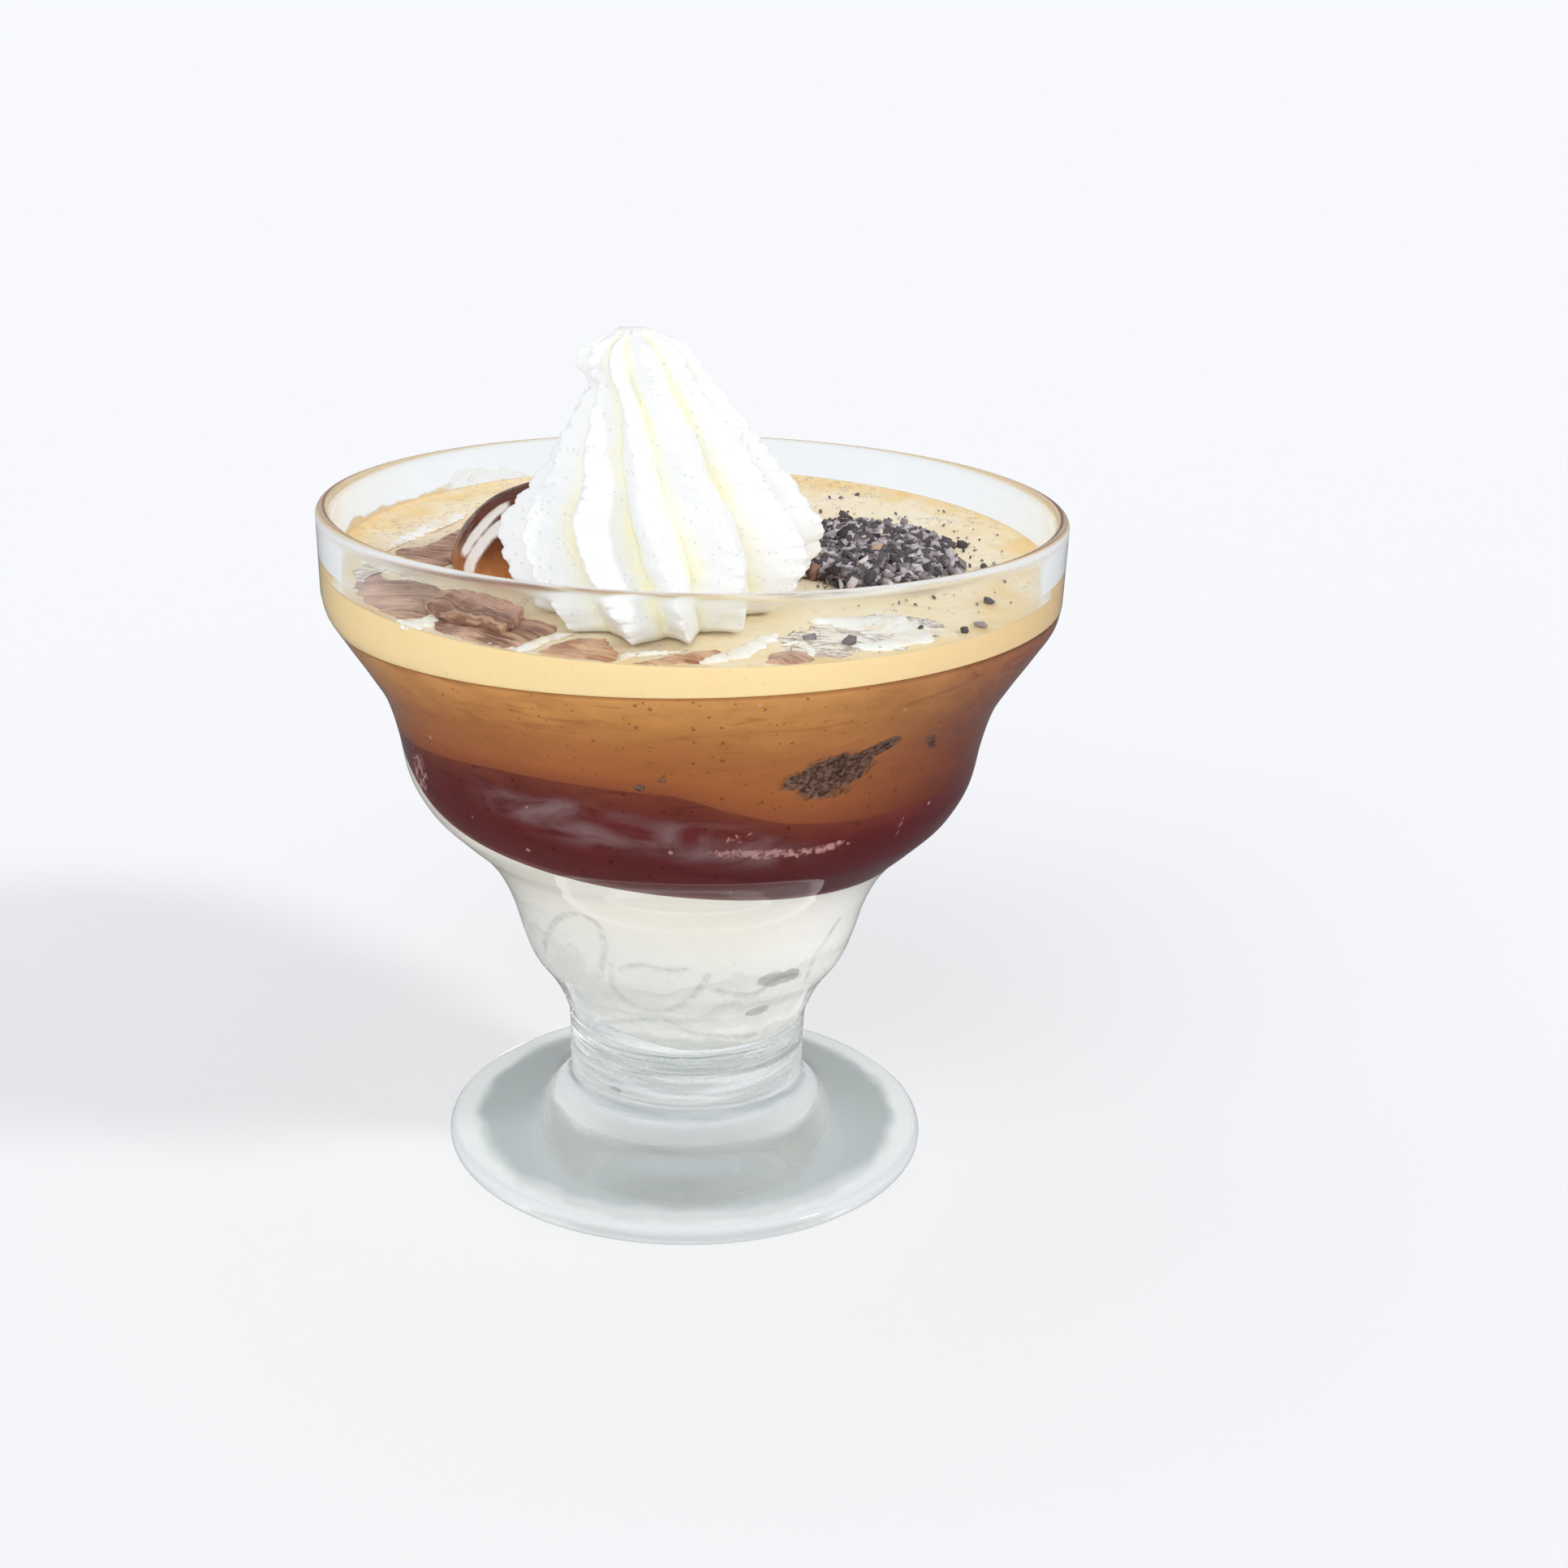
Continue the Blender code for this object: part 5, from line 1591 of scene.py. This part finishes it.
@dataclass(frozen=True)
class CrumbHeap:
    """Cookie crumbs: a low mound, the crumbs on it, and the ones that fell beside it."""

    centre: Point2 = (27.0, -2.0)
    radii: Point2 = (13.5, 18.0)
    height: float = 2.6
    crumbs: int = 3600
    crumb_reach: float = 1.02
    dust: int = 620
    dust_reach: Point2 = (10.0, 15.0)
    strays: Triples = (
        (41.5, 8.0, 1.2), (43.5, -4.0, 1.0), (39.0, -33.5, 1.3), (36.5, -36.0, 1.0), (41.5, -24.0, 1.0),
        (30.5, -36.5, 1.1), (20.5, -43.0, 1.3), (15.5, -41.5, 1.0), (24.0, 24.5, 1.0), (33.5, 20.5, 1.0))

    def spots(self, rng: np.random.Generator, count: int, reach: float) -> tuple[Array, Array, Array]:
        """Random places on the mound: even over its ellipse, out to a share of its radii."""
        angle = rng.uniform(0.0, math.tau, count)
        out = reach * np.sqrt(rng.uniform(0.0, 1.0, count))
        ragged = self.raggedness(angle)
        x = self.centre[0] + self.radii[0] * out * ragged * np.cos(angle)
        y = self.centre[1] + self.radii[1] * out * ragged * np.sin(angle)
        return x, y, self.height * np.sqrt(np.maximum(0.0, 1.0 - out ** 2))

    def raggedness(self, angle: Array) -> Array:
        """How far the heap reaches each way, as a share of its radii."""
        return 1.0 + 0.20 * waves(2.2 * np.cos(angle), 2.2 * np.sin(angle), seed=17, octaves=4)

    def mound(self, contents: Contents) -> Piece:
        """The mound under the crumbs: rings of half an ellipsoid with small sharp lumps."""
        tilt = np.radians(np.linspace(0.0, 90.0, 61)[:-1])[:, None]
        angle = angles_round(240)
        wide = 0.88 * np.cos(tilt) * self.raggedness(angle)
        x = self.centre[0] + self.radii[0] * wide * np.cos(angle)
        y = self.centre[1] + self.radii[1] * wide * np.sin(angle)
        lumps = 0.35 * waves(x / 0.8, y / 0.8, seed=19, octaves=2)
        z = contents.foam_level(x, y) + LIFT + np.maximum(self.height * np.sin(tilt) * 0.9 + lumps, 0.0)
        ground = contents.ground(self.centre)
        poles = ground, ground + (0.0, 0.0, 0.9 * self.height)
        tone = 0.3 + 0.2 * waves(x, y, seed=23)
        return MeshMaker.from_rows("crumb_mound", np.stack((x, y, z), axis=-1), poles, {"tone": tone})

    def build(self, contents: Contents) -> None:
        """Make the mound, the crumbs, the dust and the strays."""
        rng = np.random.default_rng(31)
        material = CrumbFinish("cookie_crumb", 0.5).material()
        MeshMaker.place(self.mound(contents), material, "cookie_crumbs", "cookie_crumbs")
        x, y, rise = self.spots(rng, self.crumbs, self.crumb_reach)
        size = 0.32 + 0.95 * rng.uniform(0.0, 1.0, self.crumbs) ** 2.2
        sizes = size[:, None] * rng.uniform((0.7, 0.5, 0.22), (1.35, 1.1, 0.75), (self.crumbs, 3))
        centres = np.column_stack((x, y, contents.foam_level(x, y) + LIFT + rise * 0.93 + 0.25 * size))
        tone = rng.uniform(0.0, 0.74, self.crumbs)
        odd = rng.uniform(0.0, 1.0, self.crumbs)
        tone = np.where(odd > 0.78, rng.uniform(0.72, 0.86, self.crumbs), tone)
        tone = np.where(odd > 0.955, rng.uniform(0.88, 1.0, self.crumbs), tone)
        heap = MeshMaker.scattered("crumbs_on_mound", centres, sizes, Grain.SHARD, rng, 0.5, {"tone": tone})
        MeshMaker.place(heap, material, "cookie_crumbs")
        self.fallen(contents, rng, material)

    def fallen(self, contents: Contents, rng: np.random.Generator, material: bpy.types.Material) -> None:
        """Make the crumbs on the foam: the large ones at their places, and fine dust round the heap."""
        places = np.array(self.strays)
        x, y = (np.concatenate((places[:, k], self.centre[k] + rng.normal(0.0, reach, self.dust)))
                for k, reach in enumerate(self.dust_reach))
        fine = 0.10 + 0.34 * rng.uniform(0.0, 1.0, self.dust) ** 3.0
        size = np.concatenate((0.9 * places[:, 2], fine))
        out = np.hypot(x, y)
        inside = (out < 51.6) & (x > 4.0)
        x, y, size = x[inside], y[inside], size[inside]
        count = len(x)
        z = contents.foam_relief(x, y) + 0.35 * size
        sizes = size[:, None] * rng.uniform((0.7, 0.5, 0.25), (1.3, 1.1, 0.8), (count, 3))
        odd = rng.uniform(0.0, 1.0, count)
        tone = np.where(odd > 0.88, rng.uniform(0.75, 0.93, count), rng.uniform(0.0, 0.7, count))
        obj = MeshMaker.scattered("fallen_crumbs", np.column_stack((x, y, z)), sizes, Grain.SHARD, rng, 0.45,
                                  {"tone": tone})
        MeshMaker.place(obj, material, "crema_foam")


@dataclass(frozen=True)
class Chunk:
    """The melting chunk of chocolate beside the cream: low, uneven, and bevelled."""

    azimuth: float = -40.0
    distance: float = 45.6
    length: float = 15.0
    width: float = 8.0
    height: float = 1.9
    squareness: float = 0.7
    uneven: tuple[tuple[int, float, float], ...] = ((3, 0.6, 0.07), (5, 0.0, 0.05))
    rings: SmoothCurve = SmoothCurve(((0.0, 0.96), (0.25, 1.0), (0.62, 0.97), (0.86, 0.82), (1.0, 0.60)))
    rises: SmoothCurve = SmoothCurve(((0.0, 0.0), (0.25, 0.35), (0.62, 0.80), (0.86, 0.97), (1.0, 1.0)))
    columns: int = 220

    def mesh(self, contents: Contents) -> Piece:
        """Make the chunk: rings of a rounded box that close over its top, with a lumpy skin."""
        a = math.radians(self.azimuth)
        out = np.array((math.sin(a), -math.cos(a)))
        along = np.array((-out[1], out[0]))
        angle = angles_round(self.columns)
        box = 1.0 + sum(size * np.sin(count * angle + phase) for count, phase, size in self.uneven)
        c = np.sign(np.cos(angle)) * np.abs(np.cos(angle)) ** self.squareness * box
        s = np.sign(np.sin(angle)) * np.abs(np.sin(angle)) ** self.squareness * box
        step = np.linspace(0.0, 1.0, 26)
        wide = np.concatenate((self.rings(step), np.linspace(0.55, 0.04, 16)))[:, None]
        high = np.concatenate((self.rises(step), 1.0 + 0.04 * np.linspace(0.0, 1.0, 16)))[:, None]
        u = 0.5 * self.length * wide * c
        v = 0.5 * self.width * wide * s
        lump = waves(u / 1.7, v / 1.7, 2.0 * high, seed=41, octaves=3)
        u, v = u * (1.0 + 0.04 * lump), v * (1.0 + 0.05 * lump)
        x = u * along[0] + (self.distance + v) * out[0]
        y = u * along[1] + (self.distance + v) * out[1]
        melt = 0.24 * smooth_step(0.3, 1.0, high) * (waves(u / 2.2, v / 2.2, seed=43, octaves=3) - 0.35)
        z = contents.foam_level(x, y) + LIFT + self.height * (high + melt)
        pale = smooth_step(1.2, -1.0, v + 0.8 * waves(u / 2.0, v / 2.0, seed=47, octaves=2))
        points = np.stack((x, y, z), axis=-1)
        poles = contents.ground(self.distance * out), points[-1].mean(axis=0)
        return MeshMaker.from_rows("chocolate_chunk_skin", points, poles, {"pale": pale})

    def build(self, contents: Contents) -> None:
        """Make the chunk and place it."""
        finish = ChocolateFinish("melting_chocolate", 0.38, turn=-30.0)
        MeshMaker.place(self.mesh(contents), finish.material(), "chocolate_chunk", "chocolate_chunk")


@dataclass(frozen=True)
class WallFilm:
    """Foam that stayed on the wall at the back left, and the bubbles at its edge."""

    start: float = -150.0
    end: float = -97.0
    low: float = 96.6
    top: SmoothCurve = SmoothCurve((
        (-150.0, 98.0), (-146.0, 100.4), (-140.0, 101.4), (-134.0, 101.7), (-129.0, 99.6), (-123.0, 98.9),
        (-112.0, 98.9), (-106.0, 98.9), (-101.0, 99.4), (-97.0, 97.9)))
    bubbles: Triples = (
        (-136.0, 99.9, 0.7), (-140.0, 98.3, 0.8), (-143.0, 98.9, 0.6), (-142.0, 97.5, 0.7),
        (-128.0, 98.0, 0.6), (-131.0, 99.4, 0.55), (-138.0, 98.1, 0.65), (-133.0, 98.2, 0.5),
        (-125.0, 98.1, 0.5))

    def mesh(self, vessel: Vessel) -> Piece:
        """Make the film: a thin closed slip on the wall.

        Formula: at each azimuth a flat loop runs up the face of the film and down inside the
        wall, from below the foam to the curve of its top.
        """
        azimuth = np.linspace(self.start, self.end, 220)[:, None]
        up = np.concatenate((np.linspace(0.0, 1.0, 40), np.linspace(1.0, 0.0, 40)))
        face = np.concatenate((np.zeros(40), np.ones(40)))
        high = self.top(azimuth) + 0.25 * waves(azimuth / 1.7, 0.0, seed=51, octaves=2)
        z = self.low + (high - self.low) * up
        angle = angle_of(azimuth)
        body = 0.16 * np.sqrt(np.maximum(1.0 - up ** 6, 0.0))
        r = vessel.cavity(z) + 0.08 - (0.08 + body) * (1.0 - face)
        points = around(r, angle, z)
        thick = smooth_step(-133.0, -127.0, azimuth) * smooth_step(1.05, 0.80, up)
        thick = np.maximum(thick, 0.6 * smooth_step(97.8, 97.0, z))
        return MeshMaker.from_rows("foam_film", points, marks={"thick": thick})

    def build(self, vessel: Vessel) -> None:
        """Make the film and its bubbles."""
        film = self.mesh(vessel)
        MeshMaker.place(film, ResidueFinish("dried_foam", 0.35).material(), "crema_foam")
        azimuth, z, size = np.array(self.bubbles).T
        centres = around(vessel.cavity(z) - 0.1 * size, angle_of(azimuth), z)
        sizes = np.outer(size, (0.8, 0.8, 0.8))
        rng = np.random.default_rng(57)
        bubbles = MeshMaker.scattered("film_bubbles", centres, sizes, Grain.BEAD, rng, 0.0)
        finish = ClearFinish("bubble", 0.05, index=1.2, waviness=0.0)
        MeshMaker.place(bubbles, finish.material(), "crema_foam")


# ---------------------------------------------------------------- studio

@dataclass(frozen=True)
class Studio:
    """A plain pale floor, soft lamps and the camera."""

    floor_z: float = -0.0002
    floor_size: float = 12.0
    camera_place: tuple[float, float, float] = (0.0, -0.32753, 0.17535)
    yaw: float = 0.04456
    pitch: float = 0.33709
    roll: float = 0.03028
    lens: float = 50.746
    sensor: float = 36.0
    low_sky: Colour = (0.886, 0.898, 0.920)
    high_sky: Colour = (0.62, 0.64, 0.67)
    mirrored: Colour = (0.20, 0.19, 0.19)
    sky_strength: float = 1.06

    def floor(self) -> Piece:
        """A large square under the foot."""
        half = self.floor_size / 2.0
        mesh = bpy.data.meshes.new("studio_floor")
        corners = [(-half, -half, 0.0), (half, -half, 0.0), (half, half, 0.0), (-half, half, 0.0)]
        mesh.from_pydata(corners, [], [(0, 1, 2, 3)])
        mesh.materials.append(StudioFinish("studio_paper", 0.9).material())
        obj = add_object("studio_floor", mesh)
        obj.location = (0.0, 0.0, self.floor_z)
        return obj

    def sun(self, name: str, azimuth: float, height: float, spread: float, strength: float,
            colour: Colour) -> Piece:
        """A far lamp, which lights the floor evenly.

        Args:
            name: the lamp's name.
            azimuth: where it stands, in degrees from the front, positive to the right.
            height: its angle above the floor in degrees.
            spread: how wide it looks, in degrees, which softens its shadows.
            strength: the light on a face that looks straight at it, in watts per square metre.
            colour: the light's colour.

        Returns:
            The lamp.
        """
        data = bpy.data.lights.new(name, "SUN")
        data.energy = strength
        data.angle = math.radians(spread)
        data.color = colour
        obj = add_object(name, data)
        a, e = math.radians(azimuth), math.radians(height)
        way = Vector((-math.sin(a) * math.cos(e), math.cos(a) * math.cos(e), -math.sin(e)))
        obj.rotation_euler = way.to_track_quat("-Z", "Y").to_euler()
        return obj

    def sky(self) -> None:
        """A sky that is pale at the horizon and greyer overhead."""
        world = bpy.data.worlds.new("studio_sky")
        bpy.context.scene.world = world
        world.use_nodes = True
        tree = Tree(world.node_tree)
        up = tree.add("SeparateXYZ", {0: tree.add("TexCoord").outputs["Generated"]}).outputs[2]
        colour = tree.blend(tree.span(up, 0.0, 0.9), self.low_sky, self.high_sky)
        mirrored = tree.blend(tree.span(up, 0.25, 0.75), self.mirrored, self.low_sky)
        colour = tree.blend(tree.echo(), colour, mirrored)
        tree.fill(world.node_tree.nodes["Background"], {"Color": colour, "Strength": self.sky_strength})

    def camera(self) -> None:
        """The camera: its axes are the sight line and the level line across it, rolled about it."""
        sight = Vector((math.sin(self.yaw) * math.cos(self.pitch), math.cos(self.yaw) * math.cos(self.pitch),
                        -math.sin(self.pitch)))
        right = sight.cross(Vector((0.0, 0.0, 1.0))).normalized()
        above = right.cross(sight)
        c, s = math.cos(self.roll), math.sin(self.roll)
        axes = Matrix((c * right + s * above, c * above - s * right, -sight)).transposed()
        data = bpy.data.cameras.new("studio_camera")
        data.sensor_width = self.sensor
        data.lens = self.lens
        data.clip_start = 0.01
        obj = add_object("studio_camera", data)
        obj.matrix_world = Matrix.Translation(self.camera_place) @ axes.to_4x4()
        bpy.context.scene.camera = obj

    def build(self) -> None:
        """Set up the floor, the sky, the lamps and the camera."""
        pieces = [
            self.floor(),
            self.sun("key_light", 66.5, 36.0, 10.0, 0.76, (1.0, 0.985, 0.96)),
            self.sun("front_light", -22.0, 30.0, 60.0, 0.80, (1.0, 1.0, 1.0)),
        ]
        self.sky()
        self.camera()
        bpy.context.scene.view_settings.view_transform = "Standard"


# ---------------------------------------------------------------- the foam's patches and the layers' looks

BROWN_TONES: tuple[Colour, Colour, Colour] = ((0.20, 0.080, 0.045), (0.56, 0.33, 0.20), (0.76, 0.46, 0.34))
ORANGE_TONES: tuple[Colour, Colour, Colour] = ((0.34, 0.125, 0.05), (0.70, 0.37, 0.18), (0.84, 0.55, 0.36))

PATCHES: tuple[Pad, ...] = (
    Pad("left_patch", (
        (-47.9, -21.5), (-47.0, -16.5), (-44.6, -18.0), (-40.7, -19.8), (-36.4, -22.6), (-33.0, -25.1),
        (-32.6, -30.9), (-35.7, -34.0), (-38.9, -35.0), (-42.0, -33.5), (-45.2, -28.8)), 0.30, 101, 0.3),
    Pad("far_left_patch", (
        (-45.0, -0.6), (-41.3, 2.0), (-38.5, 6.7), (-35.8, 14.0), (-33.9, 13.6), (-34.4, 6.1), (-34.6, -3.4),
        (-37.0, -8.9), (-41.1, -9.2), (-43.8, -4.8)), 0.28, 113, 0.2),
    Pad("front_patch", (
        (-20.3, -48.5), (-18.6, -45.6), (-16.8, -43.8), (-14.3, -42.4), (-11.6, -42.6), (-10.6, -45.4),
        (-9.6, -49.4), (-10.4, -51.2), (-15.5, -50.4)), 0.28, 127, 0.5),
    Pad("front_patch_2", (
        (-7.6, -51.6), (-6.2, -50.6), (-3.7, -49.6), (-0.3, -48.2), (2.8, -46.0), (3.8, -47.2), (1.4, -51.0),
        (-3.3, -52.0)), 0.26, 139, 0.3),
    Pad("chunk_patch", (
        (-35.4, -30.8), (-31.0, -29.4), (-24.0, -33.6), (-19.0, -37.6), (-18.4, -40.6), (-20.9, -42.8),
        (-23.0, -46.4), (-26.4, -45.0), (-30.4, -42.4), (-34.0, -38.8)), 0.55, 163, 0.15),
    Pad("pink_patch", (
        (9.2, -50.4), (10.4, -47.3), (13.0, -46.2), (14.9, -46.9), (15.8, -48.7), (14.0, -50.3),
        (11.8, -51.0)), 0.6, 151, 0.9),
)

POOLS: tuple[Pad, ...] = (
    Pad("milk_pool", (
        (11.4, -41.6), (15.6, -36.0), (20.0, -33.6), (26.0, -31.9), (31.4, -30.6), (33.6, -33.6),
        (31.8, -38.4), (29.0, -42.4), (24.6, -43.6), (20.4, -46.2), (16.4, -48.4), (13.4, -46.6)),
        0.26, 301, 0.5, 1.5, "whipped_cream"),
    Pad("left_milk", (
        (-49.4, -14.0), (-46.4, -6.0), (-43.8, -8.6), (-40.4, -10.6), (-37.2, -12.4), (-37.8, -18.6),
        (-41.6, -18.6), (-45.2, -16.6), (-47.6, -20.6)), 0.22, 311, 0.6, 1.3, "whipped_cream"),
    Pad("front_milk", (
        (-33.0, -38.4), (-30.0, -41.2), (-25.6, -45.4), (-20.0, -50.0), (-22.6, -47.4), (-26.4, -44.4),
        (-31.0, -36.4)), 0.24, 321, 0.5, slot="whipped_cream"),
)

RUNS: tuple[Ribbon, ...] = (
    Ribbon("milk_run_1", 0.40, 201, (
        (0.9, -51.8, 0.9), (3.0, -49.8, 1.3), (6.6, -46.7, 1.5), (9.2, -42.6, 1.6), (11.4, -39.6, 1.2))),
    Ribbon("milk_run_2", 0.42, 211, (
        (15.6, -34.5, 1.2), (20.2, -34.8, 2.4), (26.3, -35.2, 3.4), (29.0, -39.0, 2.6), (24.4, -43.2, 1.8),
        (20.6, -43.6, 1.2))),
    Ribbon("milk_curl", 0.45, 223, (
        (11.6, -44.2, 0.5), (14.0, -43.0, 0.7), (15.4, -45.6, 0.7), (14.9, -48.4, 0.5))),
    Ribbon("cream_band_a", 0.42, 227, (
        (-33.0, -31.2, 0.9), (-34.6, -34.8, 1.4), (-36.9, -37.6, 1.6), (-39.4, -35.2, 0.7))),
    Ribbon("cream_band_b", 0.38, 229, (
        (-15.9, -41.2, 0.7), (-19.6, -43.4, 0.9), (-22.0, -46.6, 1.1), (-22.6, -47.6, 0.9))),
    Ribbon("cream_band_c", 0.36, 233, (
        (-9.2, -51.2, 0.5), (-8.2, -48.9, 0.8), (-4.6, -47.9, 0.7), (-1.3, -47.4, 0.5))),
    Ribbon("far_froth_run", 0.34, 239, (
        (-46.2, -1.4, 0.7), (-44.6, 4.6, 1.2), (-42.0, 10.6, 1.6), (-39.2, 16.6, 1.7), (-36.4, 21.4, 1.2))),
    Ribbon("left_streak", 0.30, 241, ((-46.6, -13.6, 0.7), (-44.1, -15.2, 0.8), (-40.9, -17.4, 0.6))),
)

DARK_BLOTS: tuple[Blot, ...] = (
    Blot("haze", -24.0, 69.0, 14.0, 3.4, -6.0, 0.8), Blot("haze", 4.0, 66.4, 13.0, 3.0, -8.0, 0.7),
    Blot("milk", 14.0, 64.7, 9.0, 0.9, -4.0, 0.72), Blot("milk", 26.0, 64.6, 5.5, 0.8, 4.0, 0.70),
    Blot("milk", 9.0, 67.4, 2.8, 0.9, 8.0, 0.55), Blot("milk", 45.0, 65.5, 0.6, 2.4, -10.0, 0.5),
    Blot("milk", -66.0, 68.0, 6.0, 3.0, 60.0, 0.6), Blot("milk", -160.0, 66.0, 9.0, 1.2, 10.0, 0.7),
    Blot("milk", 120.0, 65.0, 8.0, 1.0, -8.0, 0.7),
)

MILK_BLOTS: tuple[Blot, ...] = (
    Blot("cookie", 25.5, 76.8, 6.4, 4.0, 14.0, 1.15), Blot("cookie", 33.0, 80.4, 3.8, 1.5, 20.0, 1.0),
    Blot("cookie", 19.5, 76.0, 3.2, 1.8, 0.0, 0.9), Blot("cookie", 46.5, 79.2, 2.6, 0.9, -38.0, 0.9),
    Blot("cookie", -5.0, 76.9, 0.9, 0.6), Blot("cookie", -9.0, 75.3, 0.8, 0.6),
    Blot("cookie", 150.0, 77.0, 3.0, 1.6, 10.0), Blot("cookie", -120.0, 80.0, 2.0, 1.2, 20.0),
)

ICE_BLOTS: tuple[Blot | Trace, ...] = (
    Blot("clear", 32.0, 36.8, 2.6, 1.5), Blot("clear", 32.0, 30.7, 2.0, 1.4),
    Blot("clear", 39.0, 36.7, 2.4, 1.4), Blot("clear", -150.0, 35.0, 2.6, 1.4),
    Blot("clear", 120.0, 32.0, 2.4, 1.5), Blot("stain", -62.0, 60.0, 12.0, 3.0, 60.0, 0.6),
    Trace(((-62.0, 37.5), (-51.0, 43.7), (-37.0, 48.6), (-29.0, 47.4), (-29.0, 42.2), (-33.0, 36.7))),
    Trace(((-28.0, 39.3), (-28.0, 34.5), (-21.0, 32.3), (-10.0, 32.0), (1.0, 34.5), (7.0, 38.8))),
    Trace(((-24.0, 38.7), (-17.0, 40.2), (-9.0, 39.7), (-1.0, 39.9)), 0.4),
    Trace(((11.0, 35.7), (25.0, 34.3), (34.0, 36.4), (45.0, 36.0)), 0.5),
    Trace(((-47.0, 25.7), (-12.0, 29.4), (1.0, 26.6), (37.0, 24.0)), 0.5),
    Trace(((57.0, 44.9), (54.0, 41.4), (50.0, 38.0), (50.0, 34.7)), 0.4),
)

DARK_STOPS: Stops = (
    (0.0, (0.20, 0.055, 0.030)), (0.25, (0.135, 0.026, 0.020)), (0.7, (0.110, 0.020, 0.020)),
    (0.93, (0.12, 0.028, 0.024)), (1.0, (0.30, 0.15, 0.12)))

MILK_STOPS: Stops = (
    (0.0, (0.36, 0.15, 0.05)), (0.03, (0.72, 0.35, 0.115)), (0.22, (0.63, 0.29, 0.085)),
    (0.50, (0.45, 0.172, 0.055)), (0.82, (0.37, 0.125, 0.042)), (1.0, (0.24, 0.065, 0.032)))


def main() -> None:
    """Build the pieces from the glass inwards and upwards, then the studio."""
    logging.basicConfig(level=logging.INFO, format="%(name)s %(message)s")
    vessel = Vessel()
    contents = Contents()
    vessel.build()
    Layer("ice_cream_body", "vanilla_ice_cream", vessel, contents.vanilla_floor, contents.vanilla_top,
          side_rows=100, blots=ICE_BLOTS).build(IceCreamFinish("icy_vanilla"))
    # The dark layer's deep colour is its painted shade.
    dark = CoffeeFinish("dark_layer", 0.3, DARK_STOPS, (0.062, 0.011, 0.014), 0.6, (0.03, 0.006, 0.005),
                        (0.55, 0.30, 0.26), deep=(0.85, 0.62, 0.95))
    Layer("dark_coffee_body", "dark_coffee", vessel, contents.vanilla_top, contents.dark_top,
          floor_rows=16, side_rows=60, top_rows=10, blots=DARK_BLOTS).build(dark)
    milky = CoffeeFinish("milky_layer", 0.35, MILK_STOPS, (0.25, 0.080, 0.030), 0.55, (0.14, 0.045, 0.018))
    Layer("milk_coffee_body", "milk_coffee", vessel, contents.dark_top, contents.milk_top,
          floor_rows=10, side_rows=80, blots=MILK_BLOTS).build(milky)
    FoamLayer("foam_body", "crema_foam", vessel, contents.milk_top, contents.foam_top,
              floor_rows=4, side_rows=24, top_rows=112).build(FoamFinish("golden_foam"))
    for number, patch in enumerate(PATCHES):
        tones = ORANGE_TONES if patch.name.startswith("front") else BROWN_TONES
        turn = -12.0 - 6.0 * number
        patch.build(contents, ChocolateFinish(f"melted_chocolate_{number + 1}", 0.45, *tones, turn=turn))
    for number, pool in enumerate(POOLS, 1):
        pool.build(contents, MilkFinish(f"milk_pool_{number}", 0.35, vein_share=0.85))
    for number, run in enumerate(RUNS, 1):
        run.build(contents, MilkFinish(f"milk_{number}", 0.35))
    Scoop().build(contents)
    Rosette().build(contents)
    CrumbHeap().build(contents)
    Chunk().build(contents)
    WallFilm().build(vessel)
    Studio().build()


if __name__ == "__main__":
    main()
